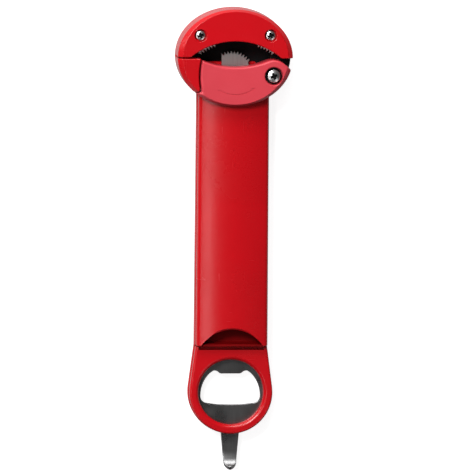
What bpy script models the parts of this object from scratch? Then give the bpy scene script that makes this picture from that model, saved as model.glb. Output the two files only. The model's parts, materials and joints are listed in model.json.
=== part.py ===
"""Hand-held opener for screw caps, crown caps and ring-pull cans, as an assembly of separate pieces.

It lies on its back: X across, Y from the tongue to the head, Z up out of the working side.
The origin is at the middle of its length and width, on the surface that it lies on.
"""

import math

import bmesh
import bpy

MM = 0.001

# Overall sizes
OVERALL_LENGTH = 240.5 * MM
HEAD_WIDTH = 59.8 * MM
HEAD_LENGTH = 50.2 * MM
HEAD_HEIGHT = 22.0 * MM
HANDLE_WIDTH_AT_HEAD = 37.4 * MM
HANDLE_WIDTH_AT_RING = 38.0 * MM
HANDLE_HEIGHT = 17.0 * MM
RING_RADIUS = 22.0 * MM
RING_HEIGHT = 11.5 * MM
RING_HOLE_RADIUS = 16.9 * MM
TONGUE_REACH = 18.5 * MM
HANDLE_TO_RING = 24.3 * MM

# Clearances
GAP = 0.3 * MM
RUNNING = 0.12 * MM
SEAM = 0.7 * MM
SLIT = 0.8 * MM

# Walls and levels above the surface
WALL = 2.2 * MM
SKIRT = 2.0 * MM
HEAD_FLOOR = 3.4 * MM
SLIDE_PLATE_THICKNESS = 1.0 * MM
FRAME_THICKNESS = 5.3 * MM
TOOTH_THICKNESS = 2.0 * MM
COVER_ROOF = 2.4 * MM
TRAY_HEIGHT = 7.0 * MM
RING_BASE = 4.3 * MM
PLATE_THICKNESS = 2.0 * MM
RIM_SIDE = 2.5 * MM
RIM_END = 1.0 * MM
RIM_HEIGHT = 2.2 * MM
RIM_STEPS = 3
BACK_EDGE = 1.2 * MM

# The swinging jaw and its mouth, from the middle of the head
PIVOT = (20.0 * MM, -9.4 * MM)
KNUCKLE_RADIUS = 8.3 * MM
JAW_REACH = 38.1 * MM
MOUTH_HALF_WIDTH = 23.1 * MM
MOUTH_CORNER_Y = 0.5 * MM
MOUTH_RISE = 8.15 * MM
SEAM_Y = 0.0 * MM
UPPER_END_Y = -0.2 * MM
JAW_CORNER_Y = -1.3 * MM
JAW_HOLLOW_RADIUS = 44.6 * MM
HEEL_BOTTOM_Y = -16.7 * MM
HEEL_DROP = 1.0 * MM
LEDGE_Y = -2.8 * MM
LEDGE_END_X = 11.0 * MM
SWING = 40.0

# Teeth
UPPER_TEETH_RADIUS = 31.2 * MM
UPPER_TEETH_CENTRE = (1.3 * MM, -24.35 * MM)
UPPER_TEETH_FROM, UPPER_TEETH_TO = 53.0, 70.4
UPPER_TEETH_COUNT = 6
UPPER_BAND = 13.0 * MM
UPPER_RELIEF = 1.9 * MM
SECTOR_CENTRE = (-1.0 * MM, -8.95 * MM)
SECTOR_RADIUS = 11.85 * MM
SECTOR_FROM, SECTOR_TO = 36.0, 122.0
SECTOR_TEETH_COUNT = 10
SECTOR_BOTTOM_Y = -14.0 * MM
SECTOR_SPREAD = 3.2 * MM
TOOTH_DEPTH = 1.6 * MM

# Pivot hardware
BARREL_RADIUS = 3.6 * MM
BARREL_BORE = 2.2 * MM
FLANGE_WIDTH = 1.6 * MM
FLANGE_THICKNESS = 1.1 * MM
LUG_WALL = 2.8 * MM
WEB_RADIUS = 13.2 * MM
WEB_FROM, WEB_TO = 14.0, 97.0
PIVOT_RECESS_RADIUS = 4.7 * MM
PIVOT_RECESS_DEPTH = 3.6 * MM
PIVOT_CUP_FLOOR = 1.4 * MM
CUP_WALL = 1.5 * MM
PIVOT_HEAD_RADIUS = 3.3 * MM
PIVOT_HEAD_HEIGHT = 2.0 * MM
PIVOT_SHANK_RADIUS = 1.9 * MM
WASHER_RADIUS = 4.3 * MM
WASHER_THICKNESS = 0.5 * MM

# Spring
SPRING_WIRE = 0.9 * MM
SPRING_CLEARANCE = 0.55 * MM
SPRING_PITCH = 1.05 * MM
SPRING_ARM = 9.0 * MM
SPRING_TANG_ANGLE = 150.0

# Small screws
SCREW_HEAD_RADIUS = 2.6 * MM
SCREW_HEAD_HEIGHT = 1.3 * MM
SCREW_SHANK_RADIUS = 1.4 * MM
SCREW_SEAT = 1.9 * MM
BOSS_RADIUS = 3.2 * MM
JAW_SCREW_HEAD_RADIUS = 2.9 * MM
JAW_SCREW_HEAD_HEIGHT = 1.6 * MM
JAW_SCREW_SINK = 0.35 * MM
JAW_SCREW_X = 18.2 * MM
JAW_SCREW_Y = 11.65 * MM

# Handle cover
COVER_LEDGE = 0.4 * MM
SHOULDER = 2.4 * MM
CROWN_SAG = 2.2 * MM
SCOOP_HALF_WIDTH = 16.4 * MM
SCOOP_RISE = 8.8 * MM
SCOOP_DEPTH = 8.8 * MM
SCOOP_LIP = 2.2 * MM
SCOOP_WALL = 1.4 * MM
SCOOP_RAMP = 2.6 * MM
END_BLOCK = 13.5 * MM

# Opener plate, from the middle of the ring
PLATE_EDGE = 2.6 * MM
TANG_HALF_WIDTH = 13.0 * MM
TANG_LENGTH = 5.0 * MM
APERTURE_HALF_WIDTH = 15.5 * MM
APERTURE_TOP = 10.9 * MM
APERTURE_BOTTOM = -6.85 * MM
APERTURE_SIDE_Y = -2.0 * MM
APERTURE_ARCH = 16.0 * MM
APERTURE_CORNER = 3.6 * MM
TAB_HALF_WIDTH = 4.85 * MM
TAB_Y = 9.4 * MM
TAB_FLARE = 2.9 * MM
TONGUE_ROOT_HALF_WIDTH = 5.0 * MM
TONGUE_TIP_HALF_WIDTH = 3.0 * MM
TONGUE_FLAT = 8.4 * MM
TONGUE_BEND_RADIUS = 12.5 * MM
RING_CHAMFER = 1.6 * MM
CHANNEL_HALF_LENGTH = 17.0 * MM
CHANNEL_WIDTH = 2.1 * MM
CHANNEL_DEPTH = 3.2 * MM

# Worked out from the sizes above
HEAD_Y = OVERALL_LENGTH / 2 - HEAD_LENGTH / 2
RING_Y = -OVERALL_LENGTH / 2 + TONGUE_REACH + RING_RADIUS
HANDLE_END_Y = RING_Y + HANDLE_TO_RING
HANDLE_TUCK_Y = HEEL_BOTTOM_Y - HEEL_DROP - GAP
HANDLE_TOP_Y = HEAD_Y + HANDLE_TUCK_Y
FRAME_BOTTOM = HEAD_FLOOR + GAP
FRAME_TOP = FRAME_BOTTOM + FRAME_THICKNESS
TOOTH_BOTTOM = FRAME_TOP + GAP
TOOTH_TOP = TOOTH_BOTTOM + TOOTH_THICKNESS
COVER_CEILING = HEAD_HEIGHT - COVER_ROOF
PLATE_BOTTOM = RING_BASE + GAP
PLATE_TOP = PLATE_BOTTOM + PLATE_THICKNESS
COVER_BOTTOM = TRAY_HEIGHT + GAP
RECESS_FLOOR = HEAD_HEIGHT - PIVOT_RECESS_DEPTH
CUP_BOTTOM = RECESS_FLOOR - PIVOT_CUP_FLOOR
MOUTH_RADIUS = (MOUTH_HALF_WIDTH**2 + MOUTH_RISE**2) / (2 * MOUTH_RISE)
MOUTH_CENTRE_Y = MOUTH_CORNER_Y + MOUTH_RISE - MOUTH_RADIUS
PIVOT_AT = (PIVOT[0], HEAD_Y + PIVOT[1])
FLANGE_RADIUS = BARREL_RADIUS + FLANGE_WIDTH
LUG_RADIUS = BARREL_RADIUS + LUG_WALL
SPRING_RADIUS = BARREL_RADIUS + SPRING_CLEARANCE + SPRING_WIRE / 2
SPRING_BOTTOM = FRAME_TOP + GAP + SPRING_WIRE / 2
SPRING_TOP = CUP_BOTTOM - GAP - SPRING_WIRE / 2
SPRING_TURNS = int((SPRING_TOP - SPRING_BOTTOM) / SPRING_PITCH - 0.5)
HEEL_MIDDLE_X = -(HEAD_WIDTH / 2 + JAW_REACH + SLIT - PIVOT[0]) / 2
BEYOND = 5.0 * MM

HANDLE_SCREWS = [(0.0, HANDLE_TOP_Y - 20 * MM), (0.0, HANDLE_END_Y + 24 * MM)]
NECK_SCREWS = [(-9.5 * MM, HANDLE_END_Y - 4.0 * MM), (9.5 * MM, HANDLE_END_Y - 4.0 * MM)]
SECTOR_SCREWS = [(-5.0 * MM, HEAD_Y - 10.6 * MM), (4.4 * MM, HEAD_Y - 10.6 * MM)]
JAW_COVER_SCREW = (-12.9 * MM, HEAD_Y - 11.0 * MM)
HEEL_SCREW = (HEEL_MIDDLE_X + 1.2 * MM, HEAD_Y - 7.5 * MM)
UPPER_SCREWS = [(-JAW_SCREW_X, HEAD_Y + JAW_SCREW_Y), (JAW_SCREW_X, HEAD_Y + JAW_SCREW_Y)]

COLOURS = {
    "red_plastic": ((0.60, 0.010, 0.018), 0.42, 0.0),
    "black_nylon": ((0.012, 0.012, 0.013), 0.55, 0.0),
    "satin_steel": ((0.46, 0.46, 0.47), 0.34, 1.0),
    "bright_steel": ((0.72, 0.72, 0.73), 0.22, 1.0),
    "spring_steel": ((0.30, 0.30, 0.31), 0.35, 1.0),
}


# ---------- plane geometry ----------


def on_circle(centre, radius, degrees):
    turn = math.radians(degrees)
    return (centre[0] + radius * math.cos(turn), centre[1] + radius * math.sin(turn))


def arc(centre, radius, start, end, steps):
    """Points along a circle, both ends included."""
    return [on_circle(centre, radius, start + (end - start) * i / steps) for i in range(steps + 1)]


def ellipse_arc(half_x, half_y, start, end, steps):
    """Points along an ellipse about the middle of the head."""
    turns = [math.radians(start + (end - start) * i / steps) for i in range(steps + 1)]
    return [(half_x * math.cos(t), HEAD_Y + half_y * math.sin(t)) for t in turns]


def solve(function, low, high):
    """Where a function that changes sign between low and high is zero."""
    rising = function(high) > 0
    for _ in range(50):
        middle = (low + high) / 2
        if (function(middle) > 0) == rising:
            high = middle
        else:
            low = middle
    return (low + high) / 2


def circles_meet(first, first_radius, second, second_radius, side):
    """The point on both circles that lies on the given side (1 or -1) of the line between their centres."""
    dx = second[0] - first[0]
    dy = second[1] - first[1]
    apart = math.hypot(dx, dy)
    along = (apart**2 + first_radius**2 - second_radius**2) / (2 * apart)
    across = side * math.sqrt(max(first_radius**2 - along**2, 0.0))
    x = first[0] + (dx * along - dy * across) / apart
    y = first[1] + (dy * along + dx * across) / apart
    return (x, y)


def angle_from(centre, point):
    return math.degrees(math.atan2(point[1] - centre[1], point[0] - centre[0]))


def head_angle(y, inset):
    """The ellipse's angle, on its right half, at a height above the middle of the head."""
    return math.degrees(math.asin(y / (HEAD_LENGTH / 2 - inset)))


def reach_from_pivot(degrees, inset):
    """How far the head's outline is from the pivot in one direction."""
    half_x = HEAD_WIDTH / 2 - inset
    half_y = HEAD_LENGTH / 2 - inset

    def outside(radius):
        x, y = on_circle(PIVOT_AT, radius, degrees)
        return (x / half_x) ** 2 + ((y - HEAD_Y) / half_y) ** 2 - 1

    return solve(outside, 0.0, HEAD_WIDTH)


# ---------- outlines ----------


def upper_jaw_outline(inset=0.0):
    """The upper half of the head, above the mouth."""
    half_x = HEAD_WIDTH / 2 - inset
    half_y = HEAD_LENGTH / 2 - inset
    left_y = SEAM_Y + SEAM / 2 + inset
    right_y = UPPER_END_Y + inset
    radius = MOUTH_RADIUS + inset
    left_turn = 180 - math.degrees(math.asin((left_y - MOUTH_CENTRE_Y) / radius))
    right_turn = math.degrees(math.asin((right_y - MOUTH_CENTRE_Y) / radius))
    outer = ellipse_arc(half_x, half_y, head_angle(right_y, inset), 180 - head_angle(left_y, inset), 26)
    return outer + arc((0.0, HEAD_Y + MOUTH_CENTRE_Y), radius, left_turn, right_turn, 14)


def heel_outline(inset=0.0):
    """The corner piece below the left end of the mouth, up to the slit that follows the jaw's end."""
    top_y = SEAM_Y - SEAM / 2 - inset
    bottom_y = HEEL_BOTTOM_Y + inset
    tip_y = bottom_y - HEEL_DROP
    radius = JAW_REACH + SLIT + inset
    top_turn = 180 - math.degrees(math.asin((top_y - PIVOT[1]) / radius))
    bottom_turn = 180 - math.degrees(math.asin((bottom_y - PIVOT[1]) / radius))
    slit = arc(PIVOT_AT, radius, top_turn, bottom_turn, 6)
    start = 180 - head_angle(tip_y, inset)
    end = 180 - head_angle(top_y, inset)
    rim = ellipse_arc(HEAD_WIDTH / 2 - inset, HEAD_LENGTH / 2 - inset, start, end, 7)
    return slit + rim


def hollow_centre():
    """The middle of the circle that hollows the lower jaw's mouth side and runs smoothly into the knuckle."""
    rise = (JAW_CORNER_Y - PIVOT[1]) / JAW_REACH
    corner = on_circle(PIVOT_AT, JAW_REACH, 180 - math.degrees(math.asin(rise)))
    return circles_meet(corner, JAW_HOLLOW_RADIUS, PIVOT_AT, JAW_HOLLOW_RADIUS + KNUCKLE_RADIUS, 1)


def lower_jaw_outline(inset=0.0, toe=True):
    """The lower half of the head: hollow on top, knuckle at the right, end arc and toe at the left.

    The knuckle is round where the upper jaw swings past it, and then runs straight to the head's edge.
    """
    centre = hollow_centre()
    hollow = JAW_HOLLOW_RADIUS + inset
    end_radius = JAW_REACH - inset
    corner = circles_meet(centre, hollow, PIVOT_AT, end_radius, -1)
    top = arc(centre, hollow, angle_from(centre, corner), angle_from(centre, PIVOT_AT), 12)
    knuckle = []
    first = angle_from(PIVOT_AT, centre)
    for i in range(1, 15):
        turn = first - (first + 45) * i / 14
        straight = math.radians(max(90 - SWING - turn, 0.0))
        radius = min((KNUCKLE_RADIUS - inset) / math.cos(min(straight, 1.0)), reach_from_pivot(turn, inset))
        knuckle.append(on_circle(PIVOT_AT, radius, turn))
    half_x = HEAD_WIDTH / 2 - inset
    half_y = HEAD_LENGTH / 2 - inset
    x, y = knuckle[-1]
    start = math.degrees(math.atan2((y - HEAD_Y) / half_y, x / half_x))
    if toe:
        tip_y = HEEL_BOTTOM_Y - HEEL_DROP - SLIT
        end = -180 - head_angle(tip_y, inset)
        foot_rise = (HEEL_BOTTOM_Y - SLIT - PIVOT[1]) / end_radius
        foot = 180 - math.degrees(math.asin(foot_rise))
    else:
        def beyond_end(degrees):
            x, y = ellipse_arc(half_x, half_y, degrees, degrees, 1)[0]
            return math.hypot(x - PIVOT_AT[0], y - PIVOT_AT[1]) - end_radius

        end = solve(beyond_end, -170.0, -90.0)
        foot = angle_from(PIVOT_AT, ellipse_arc(half_x, half_y, end, end, 1)[0]) % 360
    rim = ellipse_arc(half_x, half_y, start, end, 18)[1:]
    corner_turn = angle_from(PIVOT_AT, corner) % 360
    return top + knuckle + rim + arc(PIVOT_AT, end_radius, foot, corner_turn, 6)[:-1]


def frame_outline():
    """The black frame that carries the upper jaw and the heel, inside their skirts."""
    inset = SKIRT + GAP
    radius = MOUTH_RADIUS + 1.0 * MM
    mouth = (0.0, HEAD_Y + MOUTH_CENTRE_Y)
    end_radius = JAW_REACH + SLIT + GAP
    bottom_y = HEEL_BOTTOM_Y + GAP
    right_y = UPPER_END_Y + GAP
    outer = ellipse_arc(
        HEAD_WIDTH / 2 - inset,
        HEAD_LENGTH / 2 - inset,
        head_angle(right_y, inset),
        180 - head_angle(bottom_y, inset),
        30,
    )
    bottom_turn = 180 - math.degrees(math.asin((bottom_y - PIVOT[1]) / end_radius))
    meet = circles_meet(mouth, radius, PIVOT_AT, end_radius, 1)
    slit = arc(PIVOT_AT, end_radius, bottom_turn, angle_from(PIVOT_AT, meet) % 360, 6)
    right_turn = math.degrees(math.asin((right_y - MOUTH_CENTRE_Y) / radius))
    return outer + slit + arc(mouth, radius, angle_from(mouth, meet), right_turn, 12)[1:]


def web_outline():
    """The frame's neck, from the pivot to the upper jaw. Below the upper jaw it reaches the head's edge."""
    points = [PIVOT_AT]
    for i in range(13):
        turn = WEB_FROM + (WEB_TO - WEB_FROM) * i / 12
        point = on_circle(PIVOT_AT, min(WEB_RADIUS, reach_from_pivot(turn, GAP)), turn)
        if point[1] > HEAD_Y + UPPER_END_Y - GAP:
            inner = min(WEB_RADIUS, reach_from_pivot(turn, SKIRT + GAP))
            point = on_circle(PIVOT_AT, inner, turn)
        points.append(point)
    return points


def sweep_outline():
    """The room that the frame's web needs as it swings."""
    return [PIVOT_AT] + arc(PIVOT_AT, WEB_RADIUS + 4 * MM, WEB_FROM - SWING - 4, WEB_TO + 8, 16)


def toothed_arc(centre, radius, start, end, count, inward):
    """A row of pointed teeth along an arc, with their points on it and their roots outside or inside it."""
    root = radius + (TOOTH_DEPTH if inward else -TOOTH_DEPTH)
    step = (end - start) / count
    points = [on_circle(centre, root, start)]
    for i in range(count):
        points.append(on_circle(centre, radius, start + step * (i + 0.5)))
        points.append(on_circle(centre, root, start + step * (i + 1)))
    return points


def tooth_plate_outline():
    centre = (UPPER_TEETH_CENTRE[0], HEAD_Y + UPPER_TEETH_CENTRE[1])
    radius = UPPER_TEETH_RADIUS
    from_turn, to_turn = UPPER_TEETH_FROM, UPPER_TEETH_TO
    right = toothed_arc(centre, radius, from_turn, to_turn, UPPER_TEETH_COUNT, True)
    left = toothed_arc(centre, radius, 180 - to_turn, 180 - from_turn, UPPER_TEETH_COUNT, True)
    relief = arc(centre, radius + UPPER_RELIEF, to_turn + 1, 179 - to_turn, 8)
    outer = arc(centre, radius + UPPER_BAND, 180 - from_turn, from_turn, 16)
    return right + relief + left + outer


def sector_outline():
    centre = (SECTOR_CENTRE[0], HEAD_Y + SECTOR_CENTRE[1])
    teeth = toothed_arc(centre, SECTOR_RADIUS, SECTOR_FROM, SECTOR_TO, SECTOR_TEETH_COUNT, False)
    bottom = HEAD_Y + SECTOR_BOTTOM_Y
    return teeth + [(teeth[-1][0], bottom), (teeth[0][0] + SECTOR_SPREAD, bottom)]


def base_outline():
    """The red block under the lower jaw's cover, left of the pivot's lug and above the handle's end."""
    clear = LUG_RADIUS + GAP
    left_radius = JAW_REACH - SKIRT - GAP
    top_y = HEAD_Y + LEDGE_Y
    bottom_y = HANDLE_TOP_Y + GAP
    left_top = 180 - math.degrees(math.asin((top_y - PIVOT_AT[1]) / left_radius))
    left_bottom = 180 - math.degrees(math.asin((bottom_y - PIVOT_AT[1]) / left_radius))
    left = arc(PIVOT_AT, left_radius, left_top, left_bottom, 5)
    right = arc(PIVOT_AT, clear, 248, 150, 8)
    return left + [(right[0][0], bottom_y)] + right + [(LEDGE_END_X, top_y)]


def slide_plate_outline(inset):
    lowest = HANDLE_TUCK_Y + inset - SKIRT
    start = head_angle(lowest, inset)
    return ellipse_arc(HEAD_WIDTH / 2 - inset, HEAD_LENGTH / 2 - inset, start, 180 - start, 40)


def ring_outline(inset=0.0, top_inset=0.0):
    """The ring, widening from it into the neck below the handle."""
    radius = RING_RADIUS - inset
    corner_x = HANDLE_WIDTH_AT_RING / 2 - inset
    corner_y = HANDLE_END_Y - top_inset
    distance = math.hypot(corner_x, corner_y - RING_Y)
    turn = math.degrees(math.atan2(corner_y - RING_Y, corner_x) - math.acos(radius / distance))
    around = arc((0.0, RING_Y), radius, 180 - turn, 360 + turn, 36)
    return [(-corner_x, corner_y)] + around + [(corner_x, corner_y)]


def shell_outline():
    """The whole back of the opener: head, handle, neck and ring in one line."""
    half_x = HEAD_WIDTH / 2
    half_y = HEAD_LENGTH / 2

    def beside_handle(degrees):
        x, y = ellipse_arc(half_x, half_y, degrees, degrees, 1)[0]
        return x - half_handle_width(y)

    start = solve(beside_handle, -89.0, 0.0)
    head = ellipse_arc(half_x, half_y, start, 180 - start, 44)
    return head + ring_outline()


def half_handle_width(y):
    """The handle widens evenly from the head to the ring."""
    share = (y - HANDLE_END_Y) / (HANDLE_TOP_Y - HANDLE_END_Y)
    return (HANDLE_WIDTH_AT_RING + (HANDLE_WIDTH_AT_HEAD - HANDLE_WIDTH_AT_RING) * share) / 2


def aperture_outline():
    """The crown-cap mouth in the steel plate: a tab at the top, arched sides and a nearly straight bottom."""
    arch_centre_y = APERTURE_SIDE_Y
    horn = math.degrees(math.asin((APERTURE_TOP - arch_centre_y) / APERTURE_ARCH))
    side = []
    for i in range(8):
        turn = math.radians(horn * (7 - i) / 7)
        x = APERTURE_HALF_WIDTH * math.cos(turn)
        side.append((x, arch_centre_y + APERTURE_ARCH * math.sin(turn)))
    corner_centre = (APERTURE_HALF_WIDTH - APERTURE_CORNER, APERTURE_SIDE_Y - 0.4 * MM)
    corner = arc(corner_centre, APERTURE_CORNER, 0, -84, 5)
    right = [(TAB_HALF_WIDTH, TAB_Y), (TAB_HALF_WIDTH + TAB_FLARE, APERTURE_TOP)] + side + corner
    left = [(-x, y) for x, y in reversed(right)]
    return [(x, RING_Y + y) for x, y in right + [(0.0, APERTURE_BOTTOM)] + left]


def plate_outline(inset):
    """The steel plate: round in the ring, with a tang that runs up under the handle."""
    radius = RING_RADIUS - PLATE_EDGE - inset
    half = TANG_HALF_WIDTH - inset
    turn = math.degrees(math.acos(half / radius))
    top = HANDLE_END_Y + TANG_LENGTH - inset
    return [(-half, top)] + arc((0.0, RING_Y), radius, 180 - turn, 360 + turn, 30) + [(half, top)]


def tongue_plan(inset):
    """The tongue seen from above: it narrows from the ring to a round tip."""
    root = TONGUE_ROOT_HALF_WIDTH - inset
    tip = TONGUE_TIP_HALF_WIDTH - inset
    root_y = RING_Y - RING_RADIUS + 6 * MM
    tip_y = -OVERALL_LENGTH / 2 + TONGUE_TIP_HALF_WIDTH
    return [(root, root_y), (-root, root_y)] + arc((0.0, tip_y), tip, 180, 360, 10)


# ---------- solids ----------


def start_scene():
    for obj in list(bpy.data.objects):
        bpy.data.objects.remove(obj)
    for name in ("cap_opener", "cutters"):
        bpy.context.scene.collection.children.link(bpy.data.collections.new(name))
    for name, (colour, roughness, metallic) in COLOURS.items():
        material = bpy.data.materials.new(name)
        material.use_nodes = True
        shader = material.node_tree.nodes["Principled BSDF"]
        shader.inputs["Base Color"].default_value = (*colour, 1.0)
        shader.inputs["Roughness"].default_value = roughness
        shader.inputs["Metallic"].default_value = metallic


def new_object(name, data, material=None):
    """A part if it has a material, and otherwise a hidden helper for a Boolean."""
    obj = bpy.data.objects.new(name, data)
    if material:
        bpy.data.collections["cap_opener"].objects.link(obj)
        data.materials.append(bpy.data.materials[material])
        return obj
    bpy.data.collections["cutters"].objects.link(obj)
    obj.hide_render = True
    obj.display_type = "WIRE"
    return obj


def slab(name, outline, bottom, top, material=None, holes=()):
    """A flat outline given thickness, with any holes running right through it."""
    curve = bpy.data.curves.new(name, "CURVE")
    curve.dimensions = "2D"
    curve.fill_mode = "BOTH"
    curve.extrude = (top - bottom) / 2
    for points in [outline, *holes]:
        spline = curve.splines.new("POLY")
        spline.points.add(len(points) - 1)
        spline.use_cyclic_u = True
        for point, (x, y) in zip(spline.points, points):
            point.co = (x, y, 0.0, 1.0)
    drawn = bpy.data.objects.new(name, curve)
    bpy.context.scene.collection.objects.link(drawn)
    graph = bpy.context.evaluated_depsgraph_get()
    mesh = bpy.data.meshes.new_from_object(drawn.evaluated_get(graph))
    bpy.data.objects.remove(drawn)
    shape = bmesh.new()
    shape.from_mesh(mesh)
    bmesh.ops.remove_doubles(shape, verts=shape.verts, dist=1e-6)
    bmesh.ops.dissolve_limit(shape, angle_limit=0.01, verts=shape.verts, edges=shape.edges)
    bmesh.ops.recalc_face_normals(shape, faces=shape.faces)
    bmesh.ops.translate(shape, vec=(0, 0, (top + bottom) / 2), verts=shape.verts)
    shape.to_mesh(mesh)
    shape.free()
    return new_object(name, mesh, material)


def rod(name, centre, radius, bottom, top, material=None, sides=28, top_radius=None):
    """A round solid standing on the XY plane, straight or tapered."""
    shape = bmesh.new()
    bmesh.ops.create_cone(
        shape,
        cap_ends=True,
        segments=sides,
        radius1=radius,
        radius2=radius if top_radius is None else top_radius,
        depth=top - bottom,
    )
    bmesh.ops.translate(shape, vec=(centre[0], centre[1], (top + bottom) / 2), verts=shape.verts)
    mesh = bpy.data.meshes.new(name)
    shape.to_mesh(mesh)
    shape.free()
    return new_object(name, mesh, material)


def block(name, low, high, material=None):
    shape = bmesh.new()
    bmesh.ops.create_cube(shape, size=1.0)
    bmesh.ops.scale(shape, vec=[b - a for a, b in zip(low, high)], verts=shape.verts)
    bmesh.ops.translate(shape, vec=[(a + b) / 2 for a, b in zip(low, high)], verts=shape.verts)
    mesh = bpy.data.meshes.new(name)
    shape.to_mesh(mesh)
    shape.free()
    return new_object(name, mesh, material)


def combine(obj, helper, operation):
    modifier = obj.modifiers.new(helper.name, "BOOLEAN")
    modifier.operation = operation
    modifier.object = helper
    modifier.solver = "EXACT"
    return obj


def cut(obj, *helpers):
    for helper in helpers:
        combine(obj, helper, "DIFFERENCE")
    return obj


def add(obj, *helpers):
    for helper in helpers:
        combine(obj, helper, "UNION")
    return obj


def bevel_where(obj, chosen, width, segments):
    """Rounds the edges for which chosen(first point, second point) is true."""
    shape = bmesh.new()
    shape.from_mesh(obj.data)
    edges = [e for e in shape.edges if chosen(e.verts[0].co, e.verts[1].co)]
    bmesh.ops.bevel(
        shape,
        geom=edges,
        offset=width,
        offset_type="OFFSET",
        segments=segments,
        profile=0.5,
        affect="EDGES",
        material=-1,
    )
    shape.to_mesh(obj.data)
    shape.free()


def round_head_rim(obj):
    """Draws the head's outer wall in towards the face, further at its sides than at its ends."""
    shape = bmesh.new()
    shape.from_mesh(obj.data)
    for i in range(RIM_STEPS):
        level = HEAD_HEIGHT - RIM_HEIGHT * (1 - math.sin(math.radians(90 * i / RIM_STEPS)))
        everything = [*shape.verts, *shape.edges, *shape.faces]
        bmesh.ops.bisect_plane(shape, geom=everything, dist=1e-7, plane_co=(0, 0, level), plane_no=(0, 0, 1))
    for vertex in shape.verts:
        x, y, z = vertex.co
        ring = (x / (HEAD_WIDTH / 2)) ** 2 + ((y - HEAD_Y) / (HEAD_LENGTH / 2)) ** 2
        if z > HEAD_HEIGHT - RIM_HEIGHT and abs(ring - 1) < 1e-3:
            rise = 1 - (HEAD_HEIGHT - z) / RIM_HEIGHT
            inset = 1 - math.sqrt(max(1 - rise**2, 0.0))
            vertex.co.x = x * (1 - RIM_SIDE * inset / (HEAD_WIDTH / 2))
            vertex.co.y = HEAD_Y + (y - HEAD_Y) * (1 - RIM_END * inset / (HEAD_LENGTH / 2))
    shape.to_mesh(obj.data)
    shape.free()


def screw(name, at, head_radius, head_low, head_high, shank_end, material, shank_radius=SCREW_SHANK_RADIUS):
    """A screw with a cylindrical head. Its shank runs from the head to shank_end, above or below it."""
    upward = shank_end > head_high
    head = rod(name, at, head_radius, head_low, head_high, material, 24)
    overlap = (head_high - head_low) / 2
    low = head_high - overlap if upward else shank_end
    high = shank_end if upward else head_low + overlap
    add(head, rod(name + "_shank", at, shank_radius, low, high, sides=16))
    return head


def screw_hole(name, at, bottom, top):
    return rod(name, at, SCREW_SHANK_RADIUS + GAP, bottom, top, sides=16)


def back_screw(name, at, end):
    """A screw put in from the back of the opener, its head sunk in the shell."""
    low = SCREW_SEAT - GAP - SCREW_HEAD_HEIGHT
    return screw(name, at, SCREW_HEAD_RADIUS, low, SCREW_SEAT - GAP, end, "bright_steel")


# ---------- the handle side ----------


def handle_section(inset, lift):
    """The handle cover's section at the ring, from its left foot over the crown to its right foot."""
    half = HANDLE_WIDTH_AT_RING / 2 - COVER_LEDGE - inset
    crown = HANDLE_HEIGHT - inset + lift
    radius = max(SHOULDER - inset, 0.6 * MM)
    edge = half - radius
    shoulder_z = crown - CROWN_SAG - radius
    right = [(half, shoulder_z)] + arc((edge, shoulder_z), radius, 15, 75, 4)
    for i in range(7):
        x = edge * (1 - i / 6)
        right.append((x, crown - CROWN_SAG * (x / edge) ** 2))
    return right, [(-x, z) for x, z in reversed(right[:-1])]


def handle_body(name, inset, lift, foot, low_y, high_y, material=None):
    """The handle cover's outer or inner form: its section drawn out along Y and narrowed towards the head."""
    right, left = handle_section(inset, lift)
    section = [(right[0][0], foot)] + right + left + [(-right[0][0], foot)]
    obj = slab(name, section, low_y, high_y, material)
    reference = HANDLE_WIDTH_AT_RING / 2
    for vertex in obj.data.vertices:
        x, z, y = vertex.co
        vertex.co = (x * half_handle_width(y) / reference, y, z)
    shape = bmesh.new()
    shape.from_mesh(obj.data)
    bmesh.ops.recalc_face_normals(shape, faces=shape.faces)
    shape.to_mesh(obj.data)
    shape.free()
    return obj


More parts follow.
